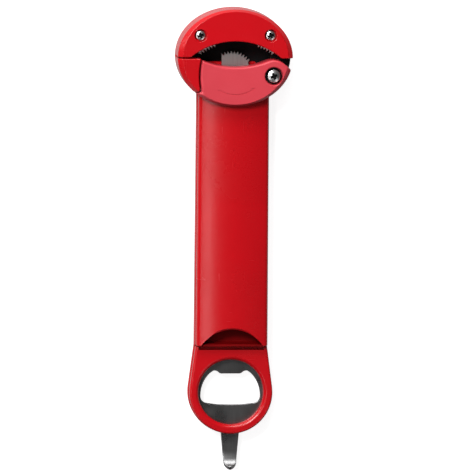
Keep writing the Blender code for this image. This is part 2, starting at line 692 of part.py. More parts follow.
def make_back_shell():
    shell = slab("back_shell", shell_outline(), 0.0, TRAY_HEIGHT, "red_plastic")
    bevel_where(shell, lambda a, b: a.z < 1e-6 and b.z < 1e-6, BACK_EDGE, 2)
    wide = HEAD_WIDTH
    head_room = block("head_room", (-wide, HANDLE_TOP_Y, HEAD_FLOOR), (wide, OVERALL_LENGTH, 2 * TRAY_HEIGHT))
    ring_room = block("ring_room", (-wide, -OVERALL_LENGTH, RING_BASE), (wide, HANDLE_END_Y, 2 * TRAY_HEIGHT))
    low_y = HANDLE_END_Y + WALL
    high_y = HANDLE_TOP_Y - WALL
    low_x = half_handle_width(low_y) - WALL
    high_x = half_handle_width(high_y) - WALL
    tray = [(-low_x, low_y), (low_x, low_y), (high_x, high_y), (-high_x, high_y)]
    cavity = slab("tray_room", tray, WALL, 2 * TRAY_HEIGHT)
    half = TANG_HALF_WIDTH + GAP
    tang_end = HANDLE_END_Y + 2 * WALL
    tang_room = block("tang_room", (-half, HANDLE_END_Y - WALL, RING_BASE), (half, tang_end, 2 * TRAY_HEIGHT))
    hole = rod("ring_hole_low", (0.0, RING_Y), RING_HOLE_RADIUS, -BEYOND, TRAY_HEIGHT, sides=48)
    recess_floor = HEAD_FLOOR - SLIDE_PLATE_THICKNESS - GAP
    recess = slab("slide_plate_room", slide_plate_outline(SKIRT), recess_floor, TRAY_HEIGHT)
    cut(shell, head_room, ring_room, cavity, tang_room, hole, recess)
    for i, at in enumerate(HANDLE_SCREWS):
        add(shell, rod(f"post_{i}", at, BOSS_RADIUS, WALL / 2, COVER_BOTTOM + 0.7 * MM, sides=20))
    screws = HANDLE_SCREWS + NECK_SCREWS + SECTOR_SCREWS + [JAW_COVER_SCREW]
    for i, at in enumerate(screws):
        cut(shell, rod(f"seat_{i}", at, SCREW_HEAD_RADIUS + GAP, -BEYOND, SCREW_SEAT, sides=24))
        cut(shell, screw_hole(f"shell_hole_{i}", at, -BEYOND, HANDLE_HEIGHT))
    flange = rod("flange_room", PIVOT_AT, FLANGE_RADIUS + GAP, -BEYOND, FLANGE_THICKNESS + GAP, sides=28)
    bore = rod("shell_bore", PIVOT_AT, BARREL_RADIUS + GAP, -BEYOND, TRAY_HEIGHT, sides=28)
    return cut(shell, flange, bore)


def make_scoop():
    """The room for a thumb at the handle's lower end: round at the top, with a floor that rises to a lip."""
    radius = (SCOOP_HALF_WIDTH**2 + SCOOP_RISE**2) / (2 * SCOOP_RISE)
    centre_y = HANDLE_END_Y + SCOOP_RISE - radius
    half_angle = math.degrees(math.asin(SCOOP_HALF_WIDTH / radius))
    plan = arc((0.0, centre_y), radius, 90 - half_angle, 90 + half_angle, 18)
    plan += [(-SCOOP_HALF_WIDTH, HANDLE_END_Y - BEYOND), (SCOOP_HALF_WIDTH, HANDLE_END_Y - BEYOND)]
    deep = HANDLE_HEIGHT - SCOOP_DEPTH
    scoop = slab("scoop", plan, deep, HANDLE_HEIGHT + BEYOND)
    lip_z = HANDLE_HEIGHT - CROWN_SAG / 2 - SCOOP_LIP
    wall_y = HANDLE_END_Y + SCOOP_WALL
    ramp_y = wall_y + SCOOP_RAMP
    ramp = [(HANDLE_END_Y - 2 * BEYOND, lip_z)]
    for i in range(7):
        share = i / 6
        ramp.append((wall_y + SCOOP_RAMP * share, deep + (lip_z - deep) * (1 - share) ** 2))
    ramp += [(ramp_y, deep - BEYOND), (HANDLE_END_Y - 2 * BEYOND, deep - BEYOND)]
    floor = slab("scoop_floor", ramp, -HEAD_WIDTH / 2, HEAD_WIDTH / 2)
    for vertex in floor.data.vertices:
        y, z, x = vertex.co
        vertex.co = (x, y, z)
    return cut(scoop, floor)


def make_handle_cover():
    cover = handle_body("handle_cover", 0.0, 0.0, COVER_BOTTOM, HANDLE_END_Y, HANDLE_TOP_Y, "red_plastic")
    low_y = HANDLE_END_Y + END_BLOCK
    high_y = HANDLE_TOP_Y - WALL
    inside = handle_body("cover_room", WALL, 0.0, COVER_BOTTOM - BEYOND, low_y, high_y)
    cut(cover, inside, make_scoop())
    for i, at in enumerate(HANDLE_SCREWS):
        bottom = COVER_BOTTOM + 1.0 * MM
        roof = HANDLE_HEIGHT - WALL / 2
        add(cover, rod(f"cover_boss_{i}", at, BOSS_RADIUS, bottom, roof, sides=20))
        cut(cover, screw_hole(f"cover_hole_{i}", at, bottom - BEYOND, HANDLE_HEIGHT - 2 * WALL + GAP))
    return cover


def on_ring_hole_rim(first, second):
    """True for an edge around the top of the ring's hole."""
    for point in (first, second):
        off_rim = abs(math.hypot(point.x, point.y - RING_Y) - RING_HOLE_RADIUS)
        if point.z < RING_HEIGHT - 1e-5 or off_rim > 1e-5:
            return False
    return True


def make_ring_cover():
    hole = arc((0.0, RING_Y), RING_HOLE_RADIUS, 0, 352.5, 47)
    outline = ring_outline(COVER_LEDGE, GAP)
    cover = slab("ring_cover", outline, PLATE_BOTTOM, RING_HEIGHT, "red_plastic", [hole])
    bevel_where(cover, on_ring_hole_rim, RING_CHAMFER, 2)
    plate_room = slab("plate_room", plate_outline(-GAP), 0.0, PLATE_TOP + GAP)
    tongue_room = slab("tongue_room", tongue_plan(-GAP), 0.0, PLATE_TOP + GAP)
    channel_low = (-CHANNEL_HALF_LENGTH, HANDLE_END_Y - CHANNEL_WIDTH, RING_HEIGHT - CHANNEL_DEPTH)
    channel = block("channel", channel_low, (CHANNEL_HALF_LENGTH, HANDLE_END_Y + GAP, HEAD_HEIGHT))
    cut(cover, plate_room, tongue_room, channel)
    for i, at in enumerate(NECK_SCREWS):
        cut(cover, screw_hole(f"neck_hole_{i}", at, 0.0, RING_HEIGHT - 1.2 * MM))
    return cover


def tongue_profile():
    """The tongue from the side: flat out of the ring, then curling up to its tip. Points are (y, z)."""
    start_y = RING_Y - RING_RADIUS - TONGUE_FLAT
    length = start_y + OVERALL_LENGTH / 2 + BEYOND
    inner = TONGUE_BEND_RADIUS - PLATE_THICKNESS
    centre_z = PLATE_TOP + inner
    outer = []
    under = []
    for i in range(9):
        y = start_y - min(length, inner * 0.98) * i / 8
        run = start_y - y
        outer.append((y, centre_z - math.sqrt(inner**2 - run**2)))
        under.append((y, centre_z - math.sqrt(TONGUE_BEND_RADIUS**2 - run**2)))
    root_y = RING_Y - RING_RADIUS + 5 * MM
    return [(root_y, PLATE_TOP)] + outer + under[::-1] + [(root_y, PLATE_BOTTOM)]


def make_opener_plate():
    holes = [aperture_outline()]
    for at in NECK_SCREWS:
        holes.append(arc(at, SCREW_SHANK_RADIUS + GAP, 0, 330, 11))
    plate = slab("opener_plate", plate_outline(0.0), PLATE_BOTTOM, PLATE_TOP, "satin_steel", holes)
    strip = slab("tongue", tongue_profile(), -HEAD_WIDTH / 2, HEAD_WIDTH / 2)
    for vertex in strip.data.vertices:
        y, z, x = vertex.co
        vertex.co = (x, y, z)
    plan = slab("tongue_plan", tongue_plan(0.0), -BEYOND, HEAD_HEIGHT + BEYOND)
    combine(strip, plan, "INTERSECT")
    return add(plate, strip)


def make_lower_jaw_cover():
    cover = slab("lower_jaw_cover", lower_jaw_outline(), FRAME_BOTTOM, HEAD_HEIGHT, "red_plastic")
    round_head_rim(cover)
    frame_room = slab("lower_frame_room", lower_jaw_outline(SKIRT, toe=False), -BEYOND, TOOTH_BOTTOM)
    open_top = slab("mouth_side_room", lower_frame_room_top(), -BEYOND, TOOTH_BOTTOM)
    sweep = slab("sweep_room", sweep_outline(), -BEYOND, TOOTH_BOTTOM)
    hollow = slab("lower_hollow", lower_jaw_outline(COVER_ROOF, toe=False), 0.0, COVER_CEILING)
    left = SECTOR_CENTRE[0] - SECTOR_RADIUS
    right = SECTOR_CENTRE[0] + SECTOR_RADIUS + GAP
    low_y = HEAD_Y + SECTOR_BOTTOM_Y - GAP
    sector_room = block("sector_room", (left, low_y, 0.0), (right, HEAD_Y + SECTOR_RADIUS, TOOTH_TOP + GAP))
    under = handle_body("handle_room", -GAP, 0.0, -BEYOND, HANDLE_END_Y, HANDLE_TOP_Y + 2 * GAP)
    tray_low = (-HEAD_WIDTH, -OVERALL_LENGTH, -BEYOND)
    tray_room = block("shell_room", tray_low, (HEAD_WIDTH, HANDLE_TOP_Y + GAP, COVER_BOTTOM))
    lug_room = rod("lug_room", PIVOT_AT, LUG_RADIUS + GAP, -BEYOND, TOOTH_BOTTOM, sides=32)
    spring_reach = SPRING_RADIUS + SPRING_WIRE / 2 + GAP
    spring_room = rod("spring_room", PIVOT_AT, spring_reach, -BEYOND, CUP_BOTTOM, sides=32)
    cut(cover, frame_room, open_top, sweep, lug_room, spring_room, hollow, sector_room, under, tray_room)
    into_roof = COVER_CEILING + COVER_ROOF / 2
    add(cover, rod("pivot_cup", PIVOT_AT, PIVOT_RECESS_RADIUS + CUP_WALL, CUP_BOTTOM, into_roof))
    add(cover, rod("jaw_boss", JAW_COVER_SCREW, BOSS_RADIUS, TOOTH_BOTTOM, into_roof, sides=20))
    recess = rod("pivot_recess", PIVOT_AT, PIVOT_RECESS_RADIUS, RECESS_FLOOR, HEAD_HEIGHT + BEYOND, sides=32)
    hole = rod("pivot_hole", PIVOT_AT, PIVOT_SHANK_RADIUS + GAP, 0.0, HEAD_HEIGHT, sides=24)
    return cut(cover, recess, hole, screw_hole("jaw_boss_hole", JAW_COVER_SCREW, 0.0, COVER_CEILING - 3 * MM))


def lower_frame_room_top():
    """A box over the mouth side of the lower jaw, so that its wall there stops above the ledge."""
    left = -JAW_REACH
    low = HEAD_Y + HEEL_BOTTOM_Y + SKIRT
    return [(left, low), (PIVOT_AT[0], low), (PIVOT_AT[0], HEAD_Y + SKIRT), (left, HEAD_Y + SKIRT)]


def make_lower_jaw_base():
    base = slab("lower_jaw_base", base_outline(), FRAME_BOTTOM, FRAME_TOP, "red_plastic")
    for i, at in enumerate([*SECTOR_SCREWS, JAW_COVER_SCREW]):
        cut(base, screw_hole(f"base_hole_{i}", at, 0.0, HEAD_HEIGHT))
    return base


def make_slide_plate():
    top = HEAD_FLOOR
    holes = [arc(PIVOT_AT, BARREL_RADIUS + GAP, 0, 345, 23)]
    for at in [*SECTOR_SCREWS, JAW_COVER_SCREW]:
        holes.append(arc(at, SCREW_SHANK_RADIUS + GAP, 0, 337.5, 15))
    outline = slide_plate_outline(SKIRT + GAP)
    return slab("slide_plate", outline, top - SLIDE_PLATE_THICKNESS, top, "black_nylon", holes)


def make_tooth_sector():
    holes = [arc(at, SCREW_SHANK_RADIUS + GAP, 0, 337.5, 15) for at in SECTOR_SCREWS]
    return slab("tooth_sector", sector_outline(), TOOTH_BOTTOM, TOOTH_TOP, "satin_steel", holes)


def make_pivot():
    top = CUP_BOTTOM - GAP
    barrel = rod("pivot_barrel", PIVOT_AT, FLANGE_RADIUS, GAP, FLANGE_THICKNESS, "bright_steel")
    add(barrel, rod("barrel_body", PIVOT_AT, BARREL_RADIUS, GAP * 2, top))
    cut(barrel, rod("barrel_bore", PIVOT_AT, BARREL_BORE, FLANGE_THICKNESS, HEAD_HEIGHT, sides=20))
    low = RECESS_FLOOR + GAP
    outline = arc(PIVOT_AT, WASHER_RADIUS, 0, 348, 29)
    hole = arc(PIVOT_AT, PIVOT_SHANK_RADIUS + GAP, 0, 342, 19)
    slab("pivot_washer", outline, low, low + WASHER_THICKNESS, "black_nylon", [hole])
    head_low = low + WASHER_THICKNESS + GAP
    end = FLANGE_THICKNESS + 2 * MM
    sizes = (PIVOT_HEAD_RADIUS, head_low, head_low + PIVOT_HEAD_HEIGHT, end)
    screw("pivot_screw", PIVOT_AT, *sizes, "bright_steel", PIVOT_SHANK_RADIUS)


def make_spring():
    """The torsion spring on the barrel: one end in the frame's lug, the other in the lower jaw."""
    points = [(*on_circle(PIVOT_AT, SPRING_RADIUS, SPRING_TANG_ANGLE), FRAME_TOP - 3 * MM)]
    steps = SPRING_TURNS * 16
    for i in range(steps + 1):
        turn = SPRING_TANG_ANGLE - 360 * i / 16
        points.append((*on_circle(PIVOT_AT, SPRING_RADIUS, turn), SPRING_BOTTOM + SPRING_PITCH * i / 16))
    last = points[-1]
    heading = math.radians(SPRING_TANG_ANGLE + 270)
    arm = (math.cos(heading) * SPRING_ARM, math.sin(heading) * SPRING_ARM)
    points.append((last[0] - arm[0] * 0.5, last[1] - arm[1] * 0.5, last[2] + SPRING_PITCH / 2))
    curve = bpy.data.curves.new("jaw_spring", "CURVE")
    curve.dimensions = "3D"
    curve.bevel_depth = SPRING_WIRE / 2
    curve.bevel_resolution = 2
    curve.use_fill_caps = True
    spline = curve.splines.new("POLY")
    spline.points.add(len(points) - 1)
    for point, place in zip(spline.points, points):
        point.co = (*place, 1.0)
    return new_object("jaw_spring", curve, "spring_steel")


# ---------- the swinging jaw ----------


def make_jaw_frame():
    frame = slab("jaw_frame", frame_outline(), FRAME_BOTTOM, FRAME_TOP, "black_nylon")
    add(frame, slab("web", web_outline(), FRAME_BOTTOM, FRAME_TOP))
    add(frame, rod("lug", PIVOT_AT, LUG_RADIUS, FRAME_BOTTOM, FRAME_TOP, sides=32))
    tang = on_circle(PIVOT_AT, SPRING_RADIUS, SPRING_TANG_ANGLE)
    cut(frame, rod("lug_bore", PIVOT_AT, BARREL_RADIUS + RUNNING, 0.0, HEAD_HEIGHT))
    cut(frame, rod("tang_hole", tang, SPRING_WIRE / 2 + GAP, FRAME_BOTTOM + 1 * MM, HEAD_HEIGHT, sides=12))
    for i, at in enumerate(UPPER_SCREWS):
        cut(frame, screw_hole(f"frame_hole_{i}", at, FRAME_BOTTOM + 1 * MM, HEAD_HEIGHT))
    seat = FRAME_BOTTOM + SCREW_SEAT
    cut(frame, rod("heel_seat", HEEL_SCREW, SCREW_HEAD_RADIUS + GAP, 0.0, seat, sides=24))
    return cut(frame, screw_hole("heel_hole_low", HEEL_SCREW, 0.0, HEAD_HEIGHT))


def frame_room(name):
    """The room inside the skirts for the frame, under the covers that it carries."""
    inset = SKIRT
    outline = ellipse_arc(HEAD_WIDTH / 2 - inset, HEAD_LENGTH / 2 - inset, 0, 352.5, 47)
    return slab(name, outline, -BEYOND, TOOTH_BOTTOM)


def make_upper_jaw_cover():
    cover = slab("upper_jaw_cover", upper_jaw_outline(), FRAME_BOTTOM, HEAD_HEIGHT, "red_plastic")
    round_head_rim(cover)
    hollow = slab("upper_hollow", upper_jaw_outline(COVER_ROOF), 0.0, COVER_CEILING)
    band = ellipse_arc(HEAD_WIDTH / 2 - COVER_ROOF, HEAD_LENGTH / 2 - COVER_ROOF, 0, 352.5, 47)
    tooth_room = slab("tooth_room", band, 0.0, TOOTH_TOP + GAP)
    cut(cover, frame_room("upper_frame_room"), tooth_room, hollow)
    for i, at in enumerate(UPPER_SCREWS):
        bottom = TOOTH_TOP + GAP
        sunk = HEAD_HEIGHT - JAW_SCREW_SINK - JAW_SCREW_HEAD_HEIGHT - GAP
        add(cover, rod(f"upper_boss_{i}", at, BOSS_RADIUS, bottom, COVER_CEILING + 1 * MM, sides=24))
        cut(cover, rod(f"upper_seat_{i}", at, JAW_SCREW_HEAD_RADIUS + GAP, sunk, HEAD_HEIGHT + BEYOND))
        cut(cover, screw_hole(f"upper_hole_{i}", at, 0.0, HEAD_HEIGHT))
    return cover


def make_jaw_heel():
    heel = slab("jaw_heel", heel_outline(), FRAME_BOTTOM, HEAD_HEIGHT, "red_plastic")
    round_head_rim(heel)
    hole = screw_hole("heel_hole", HEEL_SCREW, 0.0, HEAD_HEIGHT - 2 * COVER_ROOF)
    return cut(heel, frame_room("heel_frame_room"), hole)


def make_tooth_plate():
    holes = [arc(at, SCREW_SHANK_RADIUS + GAP, 0, 337.5, 15) for at in UPPER_SCREWS]
    plate = slab("tooth_plate", tooth_plate_outline(), TOOTH_BOTTOM, TOOTH_TOP, "satin_steel", holes)
    inset = COVER_ROOF + GAP
    limit = ellipse_arc(HEAD_WIDTH / 2 - inset, HEAD_LENGTH / 2 - inset, 0, 352.5, 47)
    return combine(plate, slab("tooth_limit", limit, 0.0, HEAD_HEIGHT), "INTERSECT")


def make_screws():
    sides = ("left", "right")
    for side, at in zip(sides, UPPER_SCREWS):
        high = HEAD_HEIGHT - JAW_SCREW_SINK
        low = high - JAW_SCREW_HEAD_HEIGHT
        end = FRAME_BOTTOM + 2 * MM
        screw(f"upper_screw_{side}", at, JAW_SCREW_HEAD_RADIUS, low, high, end, "bright_steel")
    for side, at in zip(sides, NECK_SCREWS):
        back_screw(f"neck_screw_{side}", at, RING_HEIGHT - 1.6 * MM)
    for side, at in zip(sides, SECTOR_SCREWS):
        back_screw(f"sector_screw_{side}", at, TOOTH_TOP - GAP)
    for place, at in zip(("high", "low"), HANDLE_SCREWS):
        back_screw(f"handle_screw_{place}", at, HANDLE_HEIGHT - 2 * WALL - GAP)
    back_screw("jaw_cover_screw", JAW_COVER_SCREW, COVER_CEILING - 4 * MM)
    low = FRAME_BOTTOM + SCREW_SEAT - GAP - SCREW_HEAD_HEIGHT
    high = low + SCREW_HEAD_HEIGHT
    end = HEAD_HEIGHT - 3 * COVER_ROOF
    screw("heel_screw", HEEL_SCREW, SCREW_HEAD_RADIUS, low, high, end, "bright_steel")


def shade(obj):
    if obj.type == "MESH":
        obj.data.shade_smooth()
        obj.data.set_sharp_from_angle(angle=math.radians(35))


def main():
    start_scene()
    make_back_shell()
    make_handle_cover()
    make_ring_cover()
    make_opener_plate()
    make_slide_plate()
    make_lower_jaw_base()
    make_tooth_sector()
    make_lower_jaw_cover()
    make_pivot()
    make_spring()
    make_jaw_frame()
    make_tooth_plate()
    make_upper_jaw_cover()
    make_jaw_heel()
    make_screws()
    for obj in bpy.data.collections["cap_opener"].objects:
        shade(obj)


main()
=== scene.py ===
import json
import math

import bmesh
import bpy
from mathutils import Matrix, Vector


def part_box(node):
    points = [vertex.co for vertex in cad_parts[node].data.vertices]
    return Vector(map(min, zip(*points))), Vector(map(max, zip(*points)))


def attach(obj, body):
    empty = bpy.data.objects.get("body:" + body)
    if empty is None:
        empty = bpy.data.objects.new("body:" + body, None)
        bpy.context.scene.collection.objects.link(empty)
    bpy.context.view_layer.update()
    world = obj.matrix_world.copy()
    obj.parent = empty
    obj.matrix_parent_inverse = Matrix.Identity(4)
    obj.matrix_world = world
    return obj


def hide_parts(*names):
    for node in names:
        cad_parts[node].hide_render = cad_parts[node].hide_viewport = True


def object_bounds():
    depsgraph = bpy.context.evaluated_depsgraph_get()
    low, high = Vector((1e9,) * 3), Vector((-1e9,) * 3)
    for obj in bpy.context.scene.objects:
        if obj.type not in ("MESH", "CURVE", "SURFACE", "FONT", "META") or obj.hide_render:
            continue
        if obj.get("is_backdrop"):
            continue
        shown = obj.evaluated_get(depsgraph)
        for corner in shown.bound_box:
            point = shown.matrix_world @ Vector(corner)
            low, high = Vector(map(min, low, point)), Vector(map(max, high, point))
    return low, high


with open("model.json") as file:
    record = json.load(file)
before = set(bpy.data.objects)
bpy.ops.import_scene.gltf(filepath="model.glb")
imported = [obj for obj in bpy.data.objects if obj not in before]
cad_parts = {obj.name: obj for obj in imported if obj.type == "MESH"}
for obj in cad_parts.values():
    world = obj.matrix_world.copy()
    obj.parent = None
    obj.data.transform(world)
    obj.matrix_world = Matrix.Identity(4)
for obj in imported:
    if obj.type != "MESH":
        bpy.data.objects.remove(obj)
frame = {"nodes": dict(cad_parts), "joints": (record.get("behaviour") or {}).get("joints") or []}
CAD_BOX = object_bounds()

MM = 0.001

# Places and sizes that the frame gives
SHELL_LOW, SHELL_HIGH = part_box("back_shell")
RING_LOW, RING_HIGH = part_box("ring_cover")
UPPER_LOW, UPPER_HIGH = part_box("upper_jaw_cover")
HANDLE_LOW, HANDLE_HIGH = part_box("handle_cover")
PLATE_LOW, PLATE_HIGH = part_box("opener_plate")
SECTOR_LOW, SECTOR_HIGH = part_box("tooth_sector")
TEETH_LOW, TEETH_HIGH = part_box("tooth_plate")
FRAME_LOW, FRAME_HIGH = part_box("jaw_frame")
SLIDE_LOW, SLIDE_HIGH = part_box("slide_plate")
BASE_LOW, BASE_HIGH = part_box("lower_jaw_base")
PIVOT_X, PIVOT_Y = frame["joints"][0]["pos_m"][:2]
PIVOT_AT = (PIVOT_X, PIVOT_Y)


def middle(node):
    low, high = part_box(node)
    return ((low[0] + high[0]) / 2, (low[1] + high[1]) / 2)


# Head
HEAD_WIDTH = SHELL_HIGH[0] - SHELL_LOW[0]
HEAD_LENGTH = 50.2 * MM
HEAD_Y = SHELL_HIGH[1] - HEAD_LENGTH / 2
HEAD_TOP = UPPER_HIGH[2]
COVER_LOW = UPPER_LOW[2]
RIM_SIDE = 2.5 * MM
RIM_END = 1.0 * MM
RIM_HEIGHT = 2.2 * MM
GAP = 0.3 * MM
SKIRT = 2.0 * MM
SEAM = 0.7 * MM
SLIT = 0.8 * MM
BEYOND = 6.0 * MM
SUPPORT = 0.12 * MM
UPPER_EDGE = 0.55 * MM
HEEL_EDGE = 0.6 * MM
LOWER_EDGE = 1.0 * MM
UPPER_CORNER = 0.5 * MM
LOWER_CORNER = 0.6 * MM

# Jaws, from the middle of the head
PIVOT = (PIVOT_X, PIVOT_Y - HEAD_Y)
KNUCKLE_RADIUS = 8.3 * MM
JAW_REACH = 38.1 * MM
MOUTH_HALF_WIDTH = 23.1 * MM
MOUTH_CORNER_Y = 0.5 * MM
MOUTH_RISE = 8.15 * MM
SEAM_Y = 0.0 * MM
UPPER_END_Y = -0.2 * MM
JAW_CORNER_Y = -1.3 * MM
JAW_HOLLOW_RADIUS = 44.6 * MM
HEEL_BOTTOM_Y = -16.7 * MM
HEEL_DROP = 1.0 * MM
MOUTH_RADIUS = (MOUTH_HALF_WIDTH**2 + MOUTH_RISE**2) / (2 * MOUTH_RISE)
MOUTH_CENTRE_Y = MOUTH_CORNER_Y + MOUTH_RISE - MOUTH_RADIUS
RECESS_RADIUS = 4.7 * MM
RECESS_DEPTH = 3.6 * MM
RECESS_LIP = 0.5 * MM
SEAT_DEPTH = 2.3 * MM
SEAT_LIP = 0.25 * MM
BORE_CLEARANCE = 0.12 * MM
FRAME_SET_BACK = 1.0 * MM
SWING_CLEARANCE = 4.0 * MM
LEDGE_Y = -2.8 * MM
LEDGE_END_X = 11.0 * MM
LUG_RADIUS = 6.4 * MM
BARREL_RADIUS = 3.6 * MM
WEB_RADIUS = 13.2 * MM
WEB_FROM, WEB_TO = 14.0, 97.0
SWING = frame["joints"][0]["range_deg"][1]

# Arrow on the lower jaw
ARROW_CENTRE_Y = -2.6 * MM
ARROW_RADIUS = 16.4 * MM
ARROW_WIDTH = 0.56 * MM
ARROW_DEPTH = 0.22 * MM
ARROW_HEAD_WIDTH = 2.0 * MM
ARROW_HEAD_LENGTH = 1.9 * MM
ARROW_FROM, ARROW_TO = -122.0, -58.0

# Teeth
UPPER_TEETH_RADIUS = 31.2 * MM
UPPER_TEETH_CENTRE = (1.3 * MM, -24.35 * MM)
UPPER_TEETH_FROM, UPPER_TEETH_TO = 53.0, 70.4
UPPER_TEETH_COUNT = 6
UPPER_BAND = 8.352 * MM
UPPER_RELIEF = 1.9 * MM
SECTOR_CENTRE = (-1.0 * MM, -8.95 * MM)
SECTOR_RADIUS = 11.85 * MM
SECTOR_FROM, SECTOR_TO = 36.0, 122.0
SECTOR_TEETH_COUNT = 10
SECTOR_BOTTOM_Y = -14.0 * MM
SECTOR_SPREAD = 3.2 * MM
TOOTH_DEPTH = 1.6 * MM
TOOTH_BLUNT = 0.04
STAMPED_EDGE = 0.08 * MM

# Handle and ring
RING_RADIUS = 22.0 * MM
RING_Y = SHELL_LOW[1] + RING_RADIUS
RING_HOLE_RADIUS = 16.9 * MM
RING_CHAMFER = 2.0 * MM
HANDLE_END_Y = HANDLE_LOW[1]
HANDLE_TOP_Y = HANDLE_HIGH[1]
HANDLE_TOP = HANDLE_HIGH[2]
HANDLE_WIDTH_AT_HEAD = 37.4 * MM
HANDLE_WIDTH_AT_RING = 38.0 * MM
COVER_LEDGE = 0.4 * MM
COVER_END_EDGE = 0.7 * MM
RING_EDGE = 1.0 * MM
SHOULDER = 2.4 * MM
SHOULDER_TURN = 0.86 * math.pi / 2
CROWN_SAG = 2.2 * MM
SCOOP_HALF_WIDTH = 16.4 * MM
SCOOP_RISE = 8.8 * MM
SCOOP_DEPTH = 8.8 * MM
SCOOP_LIP = 2.2 * MM
SCOOP_WALL = 1.0 * MM
SCOOP_RAMP = 1.2 * MM
SCOOP_EDGE = 0.9 * MM
TRAY_TOP = 7.0 * MM
HEAD_FLOOR = SLIDE_HIGH[2]
RING_BASE = PLATE_LOW[2] - GAP
BACK_EDGE = 1.2 * MM
TRAY_EDGE = 0.3 * MM
BACK_HOLE_LIP = 0.8 * MM
FLANGE_ROOM = 1.4 * MM
CHANNEL_HALF = 17.0 * MM
CHANNEL_WIDTH = 2.1 * MM
CHANNEL_DEPTH = 3.2 * MM

# Opener plate, from the middle of the ring
PLATE_THICKNESS = 2.0 * MM
PLATE_TOP = PLATE_LOW[2] + PLATE_THICKNESS
PLATE_BORDER = 2.6 * MM
PLATE_EDGE = 0.2 * MM
APERTURE_EDGE = 0.3 * MM
APERTURE_BREAK = 0.25 * MM
TANG_HALF_WIDTH = 13.0 * MM
APERTURE_HALF_WIDTH = 15.5 * MM
APERTURE_TOP = 10.9 * MM
APERTURE_BOTTOM = -6.85 * MM
APERTURE_SIDE_Y = -2.0 * MM
APERTURE_ARCH = 16.0 * MM
APERTURE_CORNER = 3.6 * MM
APERTURE_SAG = 0.12 * MM
TAB_HALF_WIDTH = 4.85 * MM
TAB_Y = 9.4 * MM
TAB_FLARE = 2.9 * MM
HORN_WIDTH = 1.0 * MM
TONGUE_ROOT_HALF_WIDTH = 5.0 * MM
TONGUE_TIP_HALF_WIDTH = 3.0 * MM
TONGUE_FLAT = 8.4 * MM
TONGUE_BEND_RADIUS = 12.5 * MM
TONGUE_OVERLAP = 4.0 * MM
TONGUE_EDGE = 0.35 * MM

# Hardware
JAW_SCREWS = {side: middle(f"upper_screw_{side}") for side in ("left", "right")}
JAW_SEAT_RADIUS = 3.2 * MM
JAW_HEAD_SUNK = 0.3 * MM
BACK_SCREWS = [
    "handle_screw_high",
    "handle_screw_low",
    "neck_screw_left",
    "neck_screw_right",
    "sector_screw_left",
    "sector_screw_right",
    "jaw_cover_screw",
]
SCREW_SEAT = 1.9 * MM
# Screw heads: radius, thickness, height of the dome, half the length of the cross
JAW_HEAD = (2.5 * MM, 1.5 * MM, 0.45 * MM, 1.8 * MM)
PIVOT_HEAD = (3.3 * MM, 2.0 * MM, 0.6 * MM, 1.9 * MM)
BACK_HEAD = (2.6 * MM, 1.3 * MM, 0.3 * MM, 1.5 * MM)
HEAD_EDGE = 0.35 * MM
CROSS_TURNS = (20, 110)
WASHER_BORE = 2.2 * MM
WASHER_EDGE = 0.12 * MM

# View: its distance in metres, then how far it is turned to the left, to the head and in its own plane
VIEW_DISTANCE = 8.0
VIEW_SIDE = 5.1
VIEW_HEAD = 5.5
VIEW_LEAN = 0.5
VIEW_TARGET = (2.35 * MM, 1.25 * MM, 0.0)
FLOOR_GAP = 0.05 * MM
FRAME_WIDTH = 243.9 * MM

# Lights: azimuth and elevation in degrees, distance, width and height in metres, power in watts
LIGHTS = {
    "key": (128.0, 52.0, 2.4, 0.7, 0.7, 42.0),
    "left_panel": (132.0, 20.0, 1.3, 1.3, 0.24, 8.0),
    "head_panel": (95.0, 26.0, 1.5, 0.7, 0.5, 10.0),
    "handle_strip": (180.0, 70.0, 1.5, 1.3, 0.17, 2.8),
    "screw_glint": (-50.0, 52.0, 1.0, 0.25, 0.25, 0.4),
}
WORLD_LIGHT = 0.05
FLOOR_GLOW = 0.88


# ---------- outlines ----------


def on_circle(centre, radius, degrees):
    turn = math.radians(degrees)
    return (centre[0] + radius * math.cos(turn), centre[1] + radius * math.sin(turn))


def arc(centre, radius, start, end, steps):
    """Points along a circle, both ends included."""
    return [on_circle(centre, radius, start + (end - start) * i / steps) for i in range(steps + 1)]


def head_arc(half_x, half_y, start, end, steps):
    """Points along an ellipse about the middle of the head."""
    turns = [math.radians(start + (end - start) * i / steps) for i in range(steps + 1)]
    return [(half_x * math.cos(t), HEAD_Y + half_y * math.sin(t)) for t in turns]


def solve(function, low, high):
    """Where a function that changes sign between low and high is zero."""
    rising = function(high) > 0
    for _ in range(50):
        centre = (low + high) / 2
        if (function(centre) > 0) == rising:
            high = centre
        else:
            low = centre
    return (low + high) / 2


def circles_meet(first, first_radius, second, second_radius, side):
    """The point on both circles, on the given side (1 or -1) of the line between their centres."""
    dx = second[0] - first[0]
    dy = second[1] - first[1]
    apart = math.hypot(dx, dy)
    along = (apart**2 + first_radius**2 - second_radius**2) / (2 * apart)
    across = side * math.sqrt(max(first_radius**2 - along**2, 0.0))
    return (first[0] + (dx * along - dy * across) / apart, first[1] + (dy * along + dx * across) / apart)


def quarter(steps, first=0):
    """A rounded edge from wall to face: (in from the wall, down from the face), as shares of its radius."""
    turns = [math.radians(90 * i / steps) for i in range(first, steps + 1)]
    return [(1 - math.cos(turn), 1 - math.sin(turn)) for turn in turns]


def angle_from(centre, point):
    return math.degrees(math.atan2(point[1] - centre[1], point[0] - centre[0]))


def rise_angle(rise, radius):
    return math.degrees(math.asin(rise / radius))


def reach_from_pivot(degrees, half_x, half_y):
    """How far an ellipse about the middle of the head is from the pivot in one direction."""

    def outside(radius):
        x, y = on_circle(PIVOT_AT, radius, degrees)
        return (x / half_x) ** 2 + ((y - HEAD_Y) / half_y) ** 2 - 1

    return solve(outside, 0.0, HEAD_WIDTH)


def head_halves(side, end):
    """Half the head's width and length, drawn in at its sides and at its ends."""
    return HEAD_WIDTH / 2 - side, HEAD_LENGTH / 2 - end


